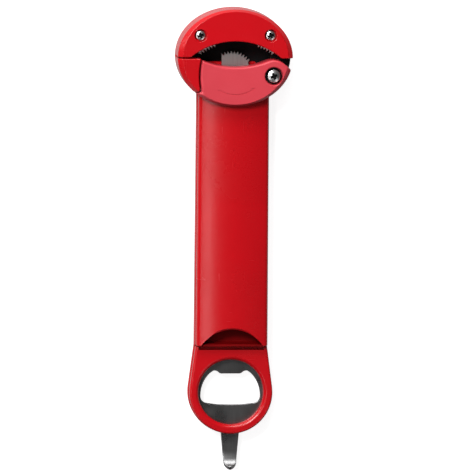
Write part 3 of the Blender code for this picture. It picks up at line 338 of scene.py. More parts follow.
def upper_jaw_outline(side, end, edge):
    half_x, half_y = head_halves(side, end)
    left_y = SEAM_Y + SEAM / 2 + edge
    right_y = UPPER_END_Y + edge
    radius = MOUTH_RADIUS + edge
    left_turn = 180 - rise_angle(left_y - MOUTH_CENTRE_Y, radius)
    right_turn = rise_angle(right_y - MOUTH_CENTRE_Y, radius)
    rim = head_arc(half_x, half_y, rise_angle(right_y, half_y), 180 - rise_angle(left_y, half_y), 72)
    return rim + arc((0.0, HEAD_Y + MOUTH_CENTRE_Y), radius, left_turn, right_turn, 40)


def heel_outline(side, end, edge):
    half_x, half_y = head_halves(side, end)
    top_y = SEAM_Y - SEAM / 2 - edge
    bottom_y = HEEL_BOTTOM_Y + edge
    radius = JAW_REACH + SLIT + edge
    top_turn = 180 - rise_angle(top_y - PIVOT[1], radius)
    bottom_turn = 180 - rise_angle(bottom_y - PIVOT[1], radius)
    slit = arc(PIVOT_AT, radius, top_turn, bottom_turn, 14)
    start = 180 - rise_angle(bottom_y - HEEL_DROP, half_y)
    rim = head_arc(half_x, half_y, start, 180 - rise_angle(top_y, half_y), 18)
    return slit + rim


def hollow_centre():
    """The middle of the circle that hollows the lower jaw and runs smoothly into the knuckle."""
    turn = 180 - rise_angle(JAW_CORNER_Y - PIVOT[1], JAW_REACH)
    corner = on_circle(PIVOT_AT, JAW_REACH, turn)
    return circles_meet(corner, JAW_HOLLOW_RADIUS, PIVOT_AT, JAW_HOLLOW_RADIUS + KNUCKLE_RADIUS, 1)


def lower_jaw_outline(side, end, edge):
    half_x, half_y = head_halves(side, end)
    centre = hollow_centre()
    hollow = JAW_HOLLOW_RADIUS + edge
    end_radius = JAW_REACH - edge
    corner = circles_meet(centre, hollow, PIVOT_AT, end_radius, -1)
    top = arc(centre, hollow, angle_from(centre, corner), angle_from(centre, PIVOT_AT), 36)
    first = angle_from(PIVOT_AT, centre)
    knuckle = []
    for i in range(1, 31):
        turn = first - (first + 45) * i / 30
        straight = math.radians(max(90 - SWING - turn, 0.0))
        round_off = (KNUCKLE_RADIUS - edge) / math.cos(min(straight, 1.0))
        radius = min(round_off, reach_from_pivot(turn, half_x, half_y))
        knuckle.append(on_circle(PIVOT_AT, radius, turn))
    x, y = knuckle[-1]
    start = math.degrees(math.atan2((y - HEAD_Y) / half_y, x / half_x))
    tip_y = HEEL_BOTTOM_Y - HEEL_DROP - SLIT - edge
    rim = head_arc(half_x, half_y, start, -180 - rise_angle(tip_y, half_y), 60)[1:]
    foot = 180 - rise_angle(HEEL_BOTTOM_Y - SLIT - edge - PIVOT[1], end_radius)
    corner_turn = angle_from(PIVOT_AT, corner) % 360
    return top + knuckle + rim + arc(PIVOT_AT, end_radius, foot, corner_turn, 14)[:-1]


def frame_outline():
    half_x, half_y = head_halves(SKIRT + GAP, SKIRT + GAP)
    radius = MOUTH_RADIUS + FRAME_SET_BACK
    mouth = (0.0, HEAD_Y + MOUTH_CENTRE_Y)
    end_radius = JAW_REACH + SLIT + GAP
    bottom_y = HEEL_BOTTOM_Y + GAP
    right_y = UPPER_END_Y + GAP
    start = rise_angle(right_y, half_y)
    rim = head_arc(half_x, half_y, start, 180 - rise_angle(bottom_y, half_y), 70)
    bottom_turn = 180 - rise_angle(bottom_y - PIVOT[1], end_radius)
    meet = circles_meet(mouth, radius, PIVOT_AT, end_radius, 1)
    slit = arc(PIVOT_AT, end_radius, bottom_turn, angle_from(PIVOT_AT, meet) % 360, 14)
    right_turn = rise_angle(right_y - MOUTH_CENTRE_Y, radius)
    return rim + slit + arc(mouth, radius, angle_from(mouth, meet), right_turn, 36)[1:]


def web_outline():
    """The frame's neck, from the pivot up to the upper jaw, out to the head's edge in the notch."""
    half_x, half_y = head_halves(GAP, GAP)
    points = [PIVOT_AT]
    for i in range(29):
        turn = WEB_FROM + (WEB_TO - WEB_FROM) * i / 28
        point = on_circle(PIVOT_AT, min(WEB_RADIUS, reach_from_pivot(turn, half_x, half_y)), turn)
        if point[1] > HEAD_Y + UPPER_END_Y - GAP:
            reach = reach_from_pivot(turn, half_x - SKIRT, half_y - SKIRT)
            point = on_circle(PIVOT_AT, min(WEB_RADIUS, reach), turn)
        points.append(point)
    return points


def toothed_arc(centre, radius, start, end, count, inward):
    """A row of pointed teeth along an arc, their points and roots slightly blunt."""
    root = radius + (TOOTH_DEPTH if inward else -TOOTH_DEPTH)
    step = (end - start) / count
    points = [on_circle(centre, root, start)]
    for i in range(count):
        for reach, share in ((radius, 0.5), (root, 1.0)):
            points.append(on_circle(centre, reach, start + step * (i + share - TOOTH_BLUNT)))
            points.append(on_circle(centre, reach, start + step * (i + share + TOOTH_BLUNT)))
    return points[:-1]


def tooth_plate_outline():
    centre = (UPPER_TEETH_CENTRE[0], HEAD_Y + UPPER_TEETH_CENTRE[1])
    radius = UPPER_TEETH_RADIUS
    from_turn, to_turn = UPPER_TEETH_FROM, UPPER_TEETH_TO
    right = toothed_arc(centre, radius, from_turn, to_turn, UPPER_TEETH_COUNT, True)
    left = toothed_arc(centre, radius, 180 - to_turn, 180 - from_turn, UPPER_TEETH_COUNT, True)
    relief = arc(centre, radius + UPPER_RELIEF, to_turn + 1, 179 - to_turn, 14)
    outer = arc(centre, radius + UPPER_BAND, 180 - from_turn, from_turn, 30)
    return right + relief + left + outer


def sector_outline():
    centre = (SECTOR_CENTRE[0], HEAD_Y + SECTOR_CENTRE[1])
    teeth = toothed_arc(centre, SECTOR_RADIUS, SECTOR_FROM, SECTOR_TO, SECTOR_TEETH_COUNT, False)
    bottom = HEAD_Y + SECTOR_BOTTOM_Y
    return teeth + [(teeth[-1][0], bottom), (teeth[0][0] + SECTOR_SPREAD, bottom)]


def head_room_outline():
    """The inside of the head's wall."""
    return head_arc(*head_halves(SKIRT, SKIRT), 0, 357, 119)


def base_outline():
    clear = LUG_RADIUS + GAP
    left_radius = JAW_REACH - SKIRT - GAP
    top_y = HEAD_Y + LEDGE_Y
    bottom_y = HANDLE_TOP_Y + GAP
    left_top = 180 - rise_angle(top_y - PIVOT_Y, left_radius)
    left_bottom = 180 - rise_angle(bottom_y - PIVOT_Y, left_radius)
    left = arc(PIVOT_AT, left_radius, left_top, left_bottom, 12)
    right = arc(PIVOT_AT, clear, 248, 150, 20)
    return left + [(right[0][0], bottom_y)] + right + [(LEDGE_END_X, top_y)]


def half_handle_width(y):
    share = (y - HANDLE_END_Y) / (HANDLE_TOP_Y - HANDLE_END_Y)
    return (HANDLE_WIDTH_AT_RING + (HANDLE_WIDTH_AT_HEAD - HANDLE_WIDTH_AT_RING) * share) / 2


def ring_outline(inset, top_inset=0.0):
    """The ring, widening from it into the neck below the handle."""
    radius = RING_RADIUS - inset
    corner_x = HANDLE_WIDTH_AT_RING / 2 - inset
    corner_y = HANDLE_END_Y - top_inset
    distance = math.hypot(corner_x, corner_y - RING_Y)
    turn = math.degrees(math.atan2(corner_y - RING_Y, corner_x) - math.acos(radius / distance))
    around = arc((0.0, RING_Y), radius, 180 - turn, 360 + turn, 96)
    return [(-corner_x, corner_y)] + around + [(corner_x, corner_y)]


def shell_outline(inset):
    """The whole back: head, handle, neck and ring in one line."""
    half_x, half_y = head_halves(inset, inset)

    def beside_handle(degrees):
        x, y = head_arc(half_x, half_y, degrees, degrees, 1)[0]
        return x - half_handle_width(y) + inset

    start = solve(beside_handle, -89.0, 0.0)
    return head_arc(half_x, half_y, start, 180 - start, 110) + ring_outline(inset)


def aperture_outline(spread=0.0):
    """The crown-cap mouth in the steel plate: a tab at the top, arched sides and a sagging bottom."""
    arch = APERTURE_ARCH + spread
    half = APERTURE_HALF_WIDTH + spread
    top = APERTURE_TOP + spread
    tab = TAB_HALF_WIDTH - spread
    horn = rise_angle(APERTURE_TOP - APERTURE_SIDE_Y, APERTURE_ARCH)
    side = []
    for i in range(1, 17):
        turn = math.radians(horn * (16 - i) / 16)
        side.append((half * math.cos(turn), APERTURE_SIDE_Y + arch * math.sin(turn)))
    flare = []
    for i in range(7):
        share = i / 6
        ease = share * share * (3 - 2 * share)
        flare.append((tab + TAB_FLARE * share, TAB_Y + spread + (top - TAB_Y - spread) * ease))
    crest = [(tab + TAB_FLARE + HORN_WIDTH, top + 0.05 * MM)]
    corner_centre = (APERTURE_HALF_WIDTH - APERTURE_CORNER, APERTURE_SIDE_Y - 0.4 * MM)
    corner = arc(corner_centre, APERTURE_CORNER + spread, 0, -84, 12)
    sag = [(APERTURE_HALF_WIDTH * 0.4, APERTURE_BOTTOM + APERTURE_SAG - spread)]
    right = flare + crest + side[1:] + corner + sag
    left = [(-x, y) for x, y in reversed(right)]
    return [(x, RING_Y + y) for x, y in right + [(0.0, APERTURE_BOTTOM - spread)] + left]


def plate_outline(inset):
    radius = RING_RADIUS - PLATE_BORDER - inset
    half = TANG_HALF_WIDTH - inset
    turn = math.degrees(math.acos(half / radius))
    top = PLATE_HIGH[1] - inset
    return [(-half, top)] + arc((0.0, RING_Y), radius, 180 - turn, 360 + turn, 70) + [(half, top)]


def softened(points, reach, steps=5, sharp=28.0):
    """The outline with its sharp corners rounded. reach is how far each rounding starts from the corner."""
    soft = []
    count = len(points)
    for i in range(count):
        here = Vector(points[i])
        before = Vector(points[i - 1]) - here
        after = Vector(points[(i + 1) % count]) - here
        turn = 180 - math.degrees(before.angle(after, math.pi))
        if turn < sharp:
            soft.append(points[i])
            continue
        first = here + before.normalized() * min(reach, before.length * 0.45)
        last = here + after.normalized() * min(reach, after.length * 0.45)
        for k in range(steps + 1):
            t = k / steps
            soft.append(tuple(first * (1 - t) ** 2 + here * 2 * t * (1 - t) + last * t**2))
    return soft


# ---------- building ----------


def finish_mesh(name, shape, material, smooth_below=32.0, flats_lead=True):
    """A bmesh made an object, with smooth shading that keeps its flat faces flat."""
    bmesh.ops.remove_doubles(shape, verts=shape.verts, dist=1e-6)
    bmesh.ops.recalc_face_normals(shape, faces=shape.faces)
    mesh = bpy.data.meshes.new(name)
    shape.to_mesh(mesh)
    shape.free()
    obj = bpy.data.objects.new(name, mesh)
    bpy.context.scene.collection.objects.link(obj)
    if material:
        mesh.materials.append(material)
    mesh.shade_smooth()
    mesh.set_sharp_from_angle(angle=math.radians(smooth_below))
    if flats_lead:
        weigh_flats(obj)
    return obj


def weigh_flats(obj):
    modifier = obj.modifiers.new("flat_faces_lead", "WEIGHTED_NORMAL")
    modifier.keep_sharp = True
    modifier.weight = 100


def raise_rings(rings):
    """A bmesh that starts as the first ring's face and is extruded through the others."""
    shape = bmesh.new()
    end = shape.faces.new([shape.verts.new(point) for point in rings[0]])
    for i, ring in enumerate(rings[1:]):
        new = bmesh.ops.extrude_face_region(shape, geom=[end])["geom"]
        if i:
            bmesh.ops.delete(shape, geom=[end], context="FACES_ONLY")
        end = next(piece for piece in new if isinstance(piece, bmesh.types.BMFace))
        for vertex, point in zip(end.verts, ring):
            vertex.co = point
    return shape


def raise_outline(rings):
    """The same for flat rings, which are (outline, z)."""
    return raise_rings([[(x, y, z) for x, y in outline] for outline, z in rings])


def rim_share(depth):
    """How far the rim is drawn in at a depth below the top, both from 0 to 1, soft at both ends."""
    soft = 0.12
    if depth > 1 + soft:
        return 0.0
    if depth > 1 - soft:
        return (1 + soft - depth) ** 2 / (4 * soft)
    if depth > soft:
        return 1 - depth
    near = min(1.0, (soft - depth) / soft)
    return 1 - depth + soft / 2 * (1 - math.sqrt(1 - near**2))


def cap_rings(outline_at, corner, edge):
    """Rings for a head cover: straight walls, a rim drawn in over RIM_HEIGHT and rounded edges."""
    levels = {COVER_LOW}
    levels.update(HEAD_TOP - RIM_HEIGHT * (1.12 - i / 10) for i in range(11))
    levels.update(HEAD_TOP - edge * down for _, down in quarter(6, 1))
    rings = []
    for z in sorted(levels):
        lift = max(0.0, 1 - (HEAD_TOP - z) / edge)
        lip = edge * (1 - math.sqrt(max(0.0, 1 - lift**2)))
        rim = rim_share((HEAD_TOP - z) / RIM_HEIGHT)
        rings.append((softened(outline_at(RIM_SIDE * rim, RIM_END * rim, lip), corner), z))
    side = RIM_SIDE * rim_share(0.0) + SUPPORT
    end = RIM_END * rim_share(0.0) + SUPPORT
    rings.append((softened(outline_at(side, end, edge + SUPPORT), corner), HEAD_TOP))
    return rings


def plate_rings(outline_at, bottom, top, edge):
    """Rings for a plate whose top and bottom edges are rounded alike."""
    rings = [(outline_at(edge * down), bottom + edge * across) for across, down in quarter(4)]
    rings += [(outline_at(edge * across), top - edge * down) for across, down in quarter(4)]
    return rings + [(outline_at(edge + 0.1 * MM), top)]


def turned(name, at, profile, material=None, sides=72):
    """A solid turned about a vertical axis at a place. The profile is (radius, z), from bottom to top."""
    shape = bmesh.new()
    verts = [shape.verts.new((at[0] + radius, at[1], z)) for radius, z in profile]
    edges = [shape.edges.new(pair) for pair in zip(verts, verts[1:])]
    bmesh.ops.spin(
        shape,
        geom=verts + edges,
        cent=(at[0], at[1], 0.0),
        axis=(0, 0, 1),
        angle=2 * math.pi,
        steps=sides,
        use_merge=True,
    )
    return finish_mesh(name, shape, material)


def prism(name, outline, bottom, top, material=None):
    return finish_mesh(name, raise_outline([(outline, bottom), (outline, top)]), material)


def block(name, low, high):
    shape = bmesh.new()
    bmesh.ops.create_cube(shape, size=1.0)
    bmesh.ops.scale(shape, vec=[b - a for a, b in zip(low, high)], verts=shape.verts)
    bmesh.ops.translate(shape, vec=[(a + b) / 2 for a, b in zip(low, high)], verts=shape.verts)
    return finish_mesh(name, shape, None, flats_lead=False)


def combine(obj, helper, operation):
    """Applies a Boolean and drops the helper, then shades the result."""
    helper.modifiers.clear()
    modifiers = [m for m in obj.modifiers if m.type == "WEIGHTED_NORMAL"]
    for modifier in modifiers:
        obj.modifiers.remove(modifier)
    modifier = obj.modifiers.new(helper.name, "BOOLEAN")
    modifier.operation = operation
    modifier.object = helper
    modifier.solver = "EXACT"
    modifier.material_mode = "TRANSFER"
    graph = bpy.context.evaluated_depsgraph_get()
    mesh = bpy.data.meshes.new_from_object(obj.evaluated_get(graph))
    obj.modifiers.clear()
    old = obj.data
    obj.data = mesh
    bpy.data.meshes.remove(old)
    mesh.name = obj.name
    bpy.data.objects.remove(helper)
    mesh.shade_smooth()
    mesh.set_sharp_from_angle(angle=math.radians(32))
    weigh_flats(obj)
    return obj


def cut(obj, *helpers):
    for helper in helpers:
        combine(obj, helper, "DIFFERENCE")
    return obj


def flared_hole(name, at, radius, floor, face, lip, sides=72):
    """A cutter for a round hole down to a floor, whose lip opens in a small round at the face."""
    profile = [(0.0, floor), (radius, floor)]
    profile += [(radius + lip * across, face - lip * down) for across, down in quarter(5)]
    profile += [(radius + lip, face + BEYOND), (0.0, face + BEYOND)]
    return turned(name, at, profile, sides=sides)


def upright_cylinder(name, at, radius, floor, top, sides=72):
    """A cutter or a pin with flat ends."""
    return turned(name, at, [(0.0, floor), (radius, floor), (radius, top), (0.0, top)], sides=sides)


# ---------- materials ----------


def node_group(name, inputs, outputs):
    """An empty shader node group. Sockets are (name, type, default)."""
    group = bpy.data.node_groups.new(name, "ShaderNodeTree")
    for label, kind, value in inputs:
        socket = group.interface.new_socket(name=label, in_out="INPUT", socket_type=f"NodeSocket{kind}")
        socket.default_value = value
    for label, kind in outputs:
        group.interface.new_socket(name=label, in_out="OUTPUT", socket_type=f"NodeSocket{kind}")
    start = group.nodes.new("NodeGroupInput")
    end = group.nodes.new("NodeGroupOutput")
    return group, start, end


def noise(tree, vector, scale, detail=4.0, roughness=0.55):
    node = tree.nodes.new("ShaderNodeTexNoise")
    node.inputs["Scale"].default_value = scale
    node.inputs["Detail"].default_value = detail
    node.inputs["Roughness"].default_value = roughness
    tree.links.new(vector, node.inputs["Vector"])
    return node.outputs["Fac"]


def math_node(tree, operation, first, second):
    node = tree.nodes.new("ShaderNodeMath")
    node.operation = operation
    for socket, value in zip(node.inputs, (first, second)):
        if isinstance(value, float):
            socket.default_value = value
        else:
            tree.links.new(value, socket)
    return node.outputs[0]


def map_range(tree, value, from_low, from_high, to_low, to_high):
    node = tree.nodes.new("ShaderNodeMapRange")
    tree.links.new(value, node.inputs["Value"])
    limits = {"From Min": from_low, "From Max": from_high, "To Min": to_low, "To Max": to_high}
    for label, amount in limits.items():
        if isinstance(amount, float):
            node.inputs[label].default_value = amount
        else:
            tree.links.new(amount, node.inputs[label])
    return node.outputs["Result"]


def mix_colours(tree, share, first, second):
    node = tree.nodes.new("ShaderNodeMix")
    node.data_type = "RGBA"
    for label, value in (("Factor_Float", share), ("A_Color", first), ("B_Color", second)):
        socket = next(s for s in node.inputs if s.identifier == label)
        if isinstance(value, (float, tuple)):
            socket.default_value = value
        else:
            tree.links.new(value, socket)
    return next(s for s in node.outputs if s.identifier == "Result_Color")


def object_coordinates(tree, stretch=(1.0, 1.0, 1.0)):
    source = tree.nodes.new("ShaderNodeTexCoord")
    mapping = tree.nodes.new("ShaderNodeMapping")
    mapping.inputs["Scale"].default_value = stretch
    tree.links.new(source.outputs["Object"], mapping.inputs["Vector"])
    return mapping.outputs["Vector"]


def surface_group(name, light, dark, gloss_low, gloss_high):
    """A group for the look of a surface, still without its patterns."""
    return node_group(
        name,
        [
            ("Colour", "Color", light),
            ("Dark Colour", "Color", dark),
            ("Gloss Low", "Float", gloss_low),
            ("Gloss High", "Float", gloss_high),
        ],
        [("Colour", "Color"), ("Roughness", "Float"), ("Height", "Float")],
    )


def join_surface(group, start, end, shade, polish, relief, low, high):
    """Colour follows the shade pattern and gloss the polish pattern, both as they go from low to high."""
    gloss = map_range(group, polish, low, high, start.outputs["Gloss Low"], start.outputs["Gloss High"])
    share = map_range(group, shade, low, high, 0.0, 1.0)
    colour = mix_colours(group, share, start.outputs["Colour"], start.outputs["Dark Colour"])
    group.links.new(colour, end.inputs["Colour"])
    group.links.new(gloss, end.inputs["Roughness"])
    group.links.new(relief, end.inputs["Height"])
    return group


def moulded_skin_group():
    """Fine moulding grain, broad uneven gloss and a slight drift of colour."""
    group, start, end = surface_group("moulded_skin", (0.5, 0.0, 0.0, 1.0), (0.4, 0.0, 0.0, 1.0), 0.3, 0.4)
    place = object_coordinates(group)
    grain = noise(group, place, 2600.0, 2.0)
    cloud = noise(group, place, 26.0, 3.0)
    handled = noise(group, place, 95.0, 5.0, 0.65)
    broad = math_node(group, "MULTIPLY", cloud, 0.6)
    blend = math_node(group, "ADD", broad, math_node(group, "MULTIPLY", handled, 0.4))
    return join_surface(group, start, end, cloud, blend, grain, 0.35, 0.65)


def fine_scratches_group():
    """Hairline scratches in two directions, as a mask that is 1 on a scratch."""
    group, start, end = node_group(
        "fine_scratches",
        [("Amount", "Float", 0.5)],
        [("Mask", "Float")],
    )
    masks = []
    for stretch in ((900.0, 40.0, 300.0), (60.0, 1100.0, 300.0)):
        lines = noise(group, object_coordinates(group, stretch), 1.0, 2.0)
        masks.append(map_range(group, lines, 0.68, 0.76, 0.0, 1.0))
    both = math_node(group, "MAXIMUM", masks[0], masks[1])
    group.links.new(math_node(group, "MULTIPLY", both, start.outputs["Amount"]), end.inputs["Mask"])
    return group


def rolled_steel_group():
    """Satin steel: fine lines along the piece, with soft patches of uneven polish."""
    group, start, end = surface_group("rolled_steel", (0.5, 0.5, 0.5, 1.0), (0.3, 0.3, 0.3, 1.0), 0.25, 0.45)
    lines = noise(group, object_coordinates(group, (2400.0, 90.0, 900.0)), 1.0, 3.0)
    patches = noise(group, object_coordinates(group), 120.0, 4.0)
    return join_surface(group, start, end, lines, patches, lines, 0.3, 0.7)


def new_material(name, metallic, specular):
    material = bpy.data.materials.new(name)
    material.use_nodes = True
    shader = material.node_tree.nodes["Principled BSDF"]
    shader.inputs["Metallic"].default_value = metallic
    shader.inputs["Specular IOR Level"].default_value = specular
    return material, material.node_tree, shader


def place_group(tree, group, values):
    node = tree.nodes.new("ShaderNodeGroup")
    node.node_tree = group
    for label, value in values.items():
        node.inputs[label].default_value = value
    return node


def add_bump(tree, shader, height, strength, distance):
    bump = tree.nodes.new("ShaderNodeBump")
    bump.inputs["Strength"].default_value = strength
    bump.inputs["Distance"].default_value = distance
    tree.links.new(height, bump.inputs["Height"])
    tree.links.new(bump.outputs["Normal"], shader.inputs["Normal"])


def finished_material(name, kind, scratches, colour, dark, gloss, worn, relief, specular):
    """A material whose colour, gloss and relief come from its kind's group and from fine scratches."""
    group, metallic, scratch_gloss, depth = kind
    material, tree, shader = new_material(name, metallic, specular)
    shades = {"Colour": (*colour, 1.0), "Dark Colour": (*dark, 1.0)}
    surface = place_group(tree, group, shades | {"Gloss Low": gloss[0], "Gloss High": gloss[1]})
    mask = place_group(tree, scratches, {"Amount": worn}).outputs["Mask"]
    dulled = math_node(tree, "MULTIPLY", mask, scratch_gloss)
    roughness = math_node(tree, "ADD", surface.outputs["Roughness"], dulled)
    height = math_node(tree, "SUBTRACT", surface.outputs["Height"], mask)
    tree.links.new(surface.outputs["Colour"], shader.inputs["Base Color"])
    tree.links.new(roughness, shader.inputs["Roughness"])
    add_bump(tree, shader, height, relief, depth)
    return material





def make_materials():
    scratches = fine_scratches_group()
    plastic = (moulded_skin_group(), 0.0, 0.12, 0.03 * MM)
    steel = (rolled_steel_group(), 1.0, 0.1, 0.02 * MM)

    def finish(name, kind, colour, dark, gloss, worn, relief=0.12, specular=0.5):
        return finished_material(name, kind, scratches, colour, dark, gloss, worn, relief, specular)

    def grey(value):
        return (value, value, value)

    red = (0.56, 0.003, 0.008), (0.51, 0.002, 0.006)
    # Paler, pinker red for the lower jaw cover: a painted sheen for the soft box reflected off its face. Its
    # rougher gloss is real.
    sheen_painted_pale_red = (0.63, 0.042, 0.062), (0.58, 0.034, 0.052)
    # A darker red for the thumb scoop's walls and floor: painted shade for the deep shadow in the pocket.
    shade_painted_dark_red = (0.2, 0.001, 0.002), (0.16, 0.0005, 0.001)
    black = (0.006, 0.006, 0.0065), (0.003, 0.003, 0.0035)
    warm_steel = (0.42, 0.42, 0.41), (0.34, 0.34, 0.335)
    # A much lighter copy of the tooth steel for the upper teeth: painted light on teeth that sit in the
    # upper jaw's shade.
    painted_lit_steel = (0.85, 0.85, 0.83), (0.7, 0.7, 0.69)
    blue_steel = (0.33, 0.33, 0.34), (0.24, 0.24, 0.25)
    return {
        "red": finish("red_gloss_moulding", plastic, *red, (0.22, 0.29), 0.25),
        "jaw_red_painted_sheen": finish("red_satin_moulding_painted_sheen", plastic, *sheen_painted_pale_red, (0.40, 0.50), 0.4, 0.25),
        "scoop_painted_shade": finish("red_scoop_painted_shade", plastic, *shade_painted_dark_red, (0.45, 0.55), 0.3, 0.2, 0.06),
        "black": finish("black_nylon", plastic, *black, (0.5, 0.62), 0.4, 0.35, 0.15),
        "plate": finish("opener_plate_steel", steel, grey(0.27), (0.22, 0.22, 0.222), (0.26, 0.36), 0.3),
        "tooth": finish("tooth_steel", steel, *warm_steel, (0.38, 0.5), 0.4, 0.2),
        "upper_tooth_painted_lit": finish("upper_tooth_steel_painted_lit", steel, *painted_lit_steel, (0.45, 0.6), 0.3),
        "screw": finish("screw_steel", steel, grey(0.8), grey(0.68), (0.24, 0.32), 0.2, 0.06),
        # The cross recesses are painted near black: painted shade for the dark inside of each recess.
        "recess": finish("screw_recess_painted_shade", steel, grey(0.02), grey(0.01), (0.55, 0.7), 0.2),
        "spring": finish("spring_wire", steel, *blue_steel, (0.3, 0.4), 0.2),
    }


# ---------- pieces ----------


def settle(obj, body, slot, *nodes):
    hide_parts(*nodes)
    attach(obj, body)
    return obj


def make_upper_jaw_cover(materials):
    shape = raise_outline(cap_rings(upper_jaw_outline, UPPER_CORNER, UPPER_EDGE))
    cover = finish_mesh("upper_jaw_shell", shape, materials["red"])
    cut(cover, prism("frame_room", head_room_outline(), -BEYOND, TEETH_HIGH[2] + GAP))
    floor = HEAD_TOP - SEAT_DEPTH
    for side, at in JAW_SCREWS.items():
        cut(cover, flared_hole(f"seat_{side}", at, JAW_SEAT_RADIUS, floor, HEAD_TOP, SEAT_LIP))
    return settle(cover, "jaw", "red_plastic", "upper_jaw_cover")


def make_jaw_heel(materials):
    shape = raise_outline(cap_rings(heel_outline, LOWER_CORNER, HEEL_EDGE))
    heel = finish_mesh("jaw_heel_block", shape, materials["red"])
    cut(heel, prism("heel_frame_room", head_room_outline(), -BEYOND, FRAME_HIGH[2] + GAP))
    return settle(heel, "jaw", "red_plastic", "jaw_heel")


def make_lower_jaw_cover(materials):
    """The lower jaw's cover, hollowed for the tray, the handle, the turning frame and the sector."""
    shape = raise_outline(cap_rings(lower_jaw_outline, LOWER_CORNER, LOWER_EDGE))
    # The lower jaw cover takes the paler red, whose paleness is a painted sheen.
    cover = finish_mesh("lower_jaw_shell", shape, materials["jaw_red_painted_sheen"])
    wide = HEAD_WIDTH
    tray = block("shell_room", (-wide, -wide, -BEYOND), (wide, HANDLE_TOP_Y + GAP, TRAY_TOP + GAP))
    low_half = half_handle_width(0) + GAP
    high_half = half_handle_width(HANDLE_TOP_Y) + GAP
    high = HANDLE_TOP_Y + 2 * GAP
    corners = [(-low_half, 0.0), (low_half, 0.0), (high_half, high), (-high_half, high)]
    handle = prism("handle_room", corners, -BEYOND, HANDLE_TOP + GAP)
    sweep = [PIVOT_AT] + arc(PIVOT_AT, WEB_RADIUS + SWING_CLEARANCE, WEB_FROM - SWING - 4, 175, 40)
    swing_room = prism("swing_room", sweep, -BEYOND, FRAME_HIGH[2] + GAP)
    low = HEAD_Y + HEEL_BOTTOM_Y + SKIRT
    mouth_side = block("mouth_side", (-wide, low, -BEYOND), (PIVOT_X, HEAD_Y + SKIRT, FRAME_HIGH[2] + GAP))
    sector_low = (SECTOR_LOW[0] - GAP, SECTOR_LOW[1], -BEYOND)
    sector_room = block("sector_room", sector_low, [reach + GAP for reach in SECTOR_HIGH])
    cut(cover, tray, handle, swing_room, mouth_side, sector_room)
    floor = HEAD_TOP - RECESS_DEPTH
    cut(cover, flared_hole("pivot_recess", PIVOT_AT, RECESS_RADIUS, floor, HEAD_TOP, RECESS_LIP, 96))
    cut(cover, make_arrow_cutter())
    return settle(cover, "handle", "red_plastic", "lower_jaw_cover")


def make_arrow_cutter():
    """A shallow curved groove with a point at one end, which shows the way that the jaws grip."""
    centre = (0.0, HEAD_Y + ARROW_CENTRE_Y)
    step = math.degrees(ARROW_HEAD_LENGTH / ARROW_RADIUS)
    outer = arc(centre, ARROW_RADIUS + ARROW_WIDTH / 2, ARROW_FROM, ARROW_TO, 30)
    inner = arc(centre, ARROW_RADIUS - ARROW_WIDTH / 2, ARROW_TO, ARROW_FROM, 30)
    point = [
        on_circle(centre, ARROW_RADIUS + ARROW_HEAD_WIDTH / 2, ARROW_TO),
        on_circle(centre, ARROW_RADIUS, ARROW_TO + step),
        on_circle(centre, ARROW_RADIUS - ARROW_HEAD_WIDTH / 2, ARROW_TO),
    ]
    return prism("arrow_groove", outer + point + inner, HEAD_TOP - ARROW_DEPTH, HEAD_TOP + BEYOND)


def handle_section(y, drop):
    """Points (x, z) of the cover's section at a place along it, from foot to foot. drop draws it in."""
    full = HANDLE_WIDTH_AT_RING / 2
    half = (full - COVER_LEDGE) * half_handle_width(y) / full - drop
    crown = HANDLE_TOP - drop
    edge = half - SHOULDER
    shoulder_z = crown - CROWN_SAG - SHOULDER
    right = [(half, HANDLE_LOW[2])]
    for i in range(10):
        turn = SHOULDER_TURN * i / 9
        right.append((edge + SHOULDER * math.cos(turn), shoulder_z + SHOULDER * math.sin(turn)))
    last_x, last_z = right[-1]
    for i in range(1, 15):
        x = last_x * (1 - i / 14)
        right.append((x, crown - (crown - last_z) * (x / last_x) ** 2))
    return [(-x, z) for x, z in right] + [(x, z) for x, z in reversed(right[:-1])]


def make_handle_cover(materials):
    """The front of the handle: its section extruded along the handle, with a rounded lower end."""
    edge = COVER_END_EDGE
    stations = [(HANDLE_END_Y + edge * across, edge * down) for across, down in quarter(5)]
    stations += [(HANDLE_END_Y + (HANDLE_TOP_Y - HANDLE_END_Y) * i / 12, 0.0) for i in range(1, 13)]
    shape = raise_rings([[(x, y, z) for x, z in handle_section(y, drop)] for y, drop in stations])
    cover = finish_mesh("handle_front", shape, materials["red"], 40.0, flats_lead=False)
    cut(cover, make_scoop_cutter(materials))
    return settle(cover, "handle", "red_plastic", "handle_cover")


def scoop_outline(spread):
    radius = (SCOOP_HALF_WIDTH**2 + SCOOP_RISE**2) / (2 * SCOOP_RISE)
    centre_y = HANDLE_END_Y + SCOOP_RISE - radius
    half_angle = math.degrees(math.asin(SCOOP_HALF_WIDTH / radius))
    plan = arc((0.0, centre_y), radius + spread, 90 - half_angle, 90 + half_angle, 48)
    half = plan[0][0]
    return plan + [(-half, HANDLE_END_Y - BEYOND), (half, HANDLE_END_Y - BEYOND)]


def make_scoop_cutter(materials):
    """The room for a thumb: round at the top, open at the face in a soft lip, deep inside, its walls and
    floor painted darker red as shade.
    """
    deep = HANDLE_TOP - SCOOP_DEPTH
    lip_top = HANDLE_TOP - CROWN_SAG * 0.3
    lip_low = lip_top - SCOOP_EDGE
    rings = [(scoop_outline(0.0), deep), (scoop_outline(0.0), lip_low)]
    for across, down in quarter(5, 1):
        rings.append((scoop_outline(SCOOP_EDGE * across), lip_top - SCOOP_EDGE * down))
    rings.append((scoop_outline(SCOOP_EDGE), HANDLE_TOP + BEYOND))
    scoop = finish_mesh("scoop_room", raise_outline(rings), materials["scoop_painted_shade"])
    # The scoop's walls and floor keep the darker red, which is painted shade. Only the rounded lip gets the
    # ordinary red.
    scoop.data.materials.append(materials["red"])
    for face in scoop.data.polygons:
        if face.center.z > lip_low + 0.1 * MM:
            face.material_index = 1
    return cut(scoop, make_scoop_floor(deep, materials))


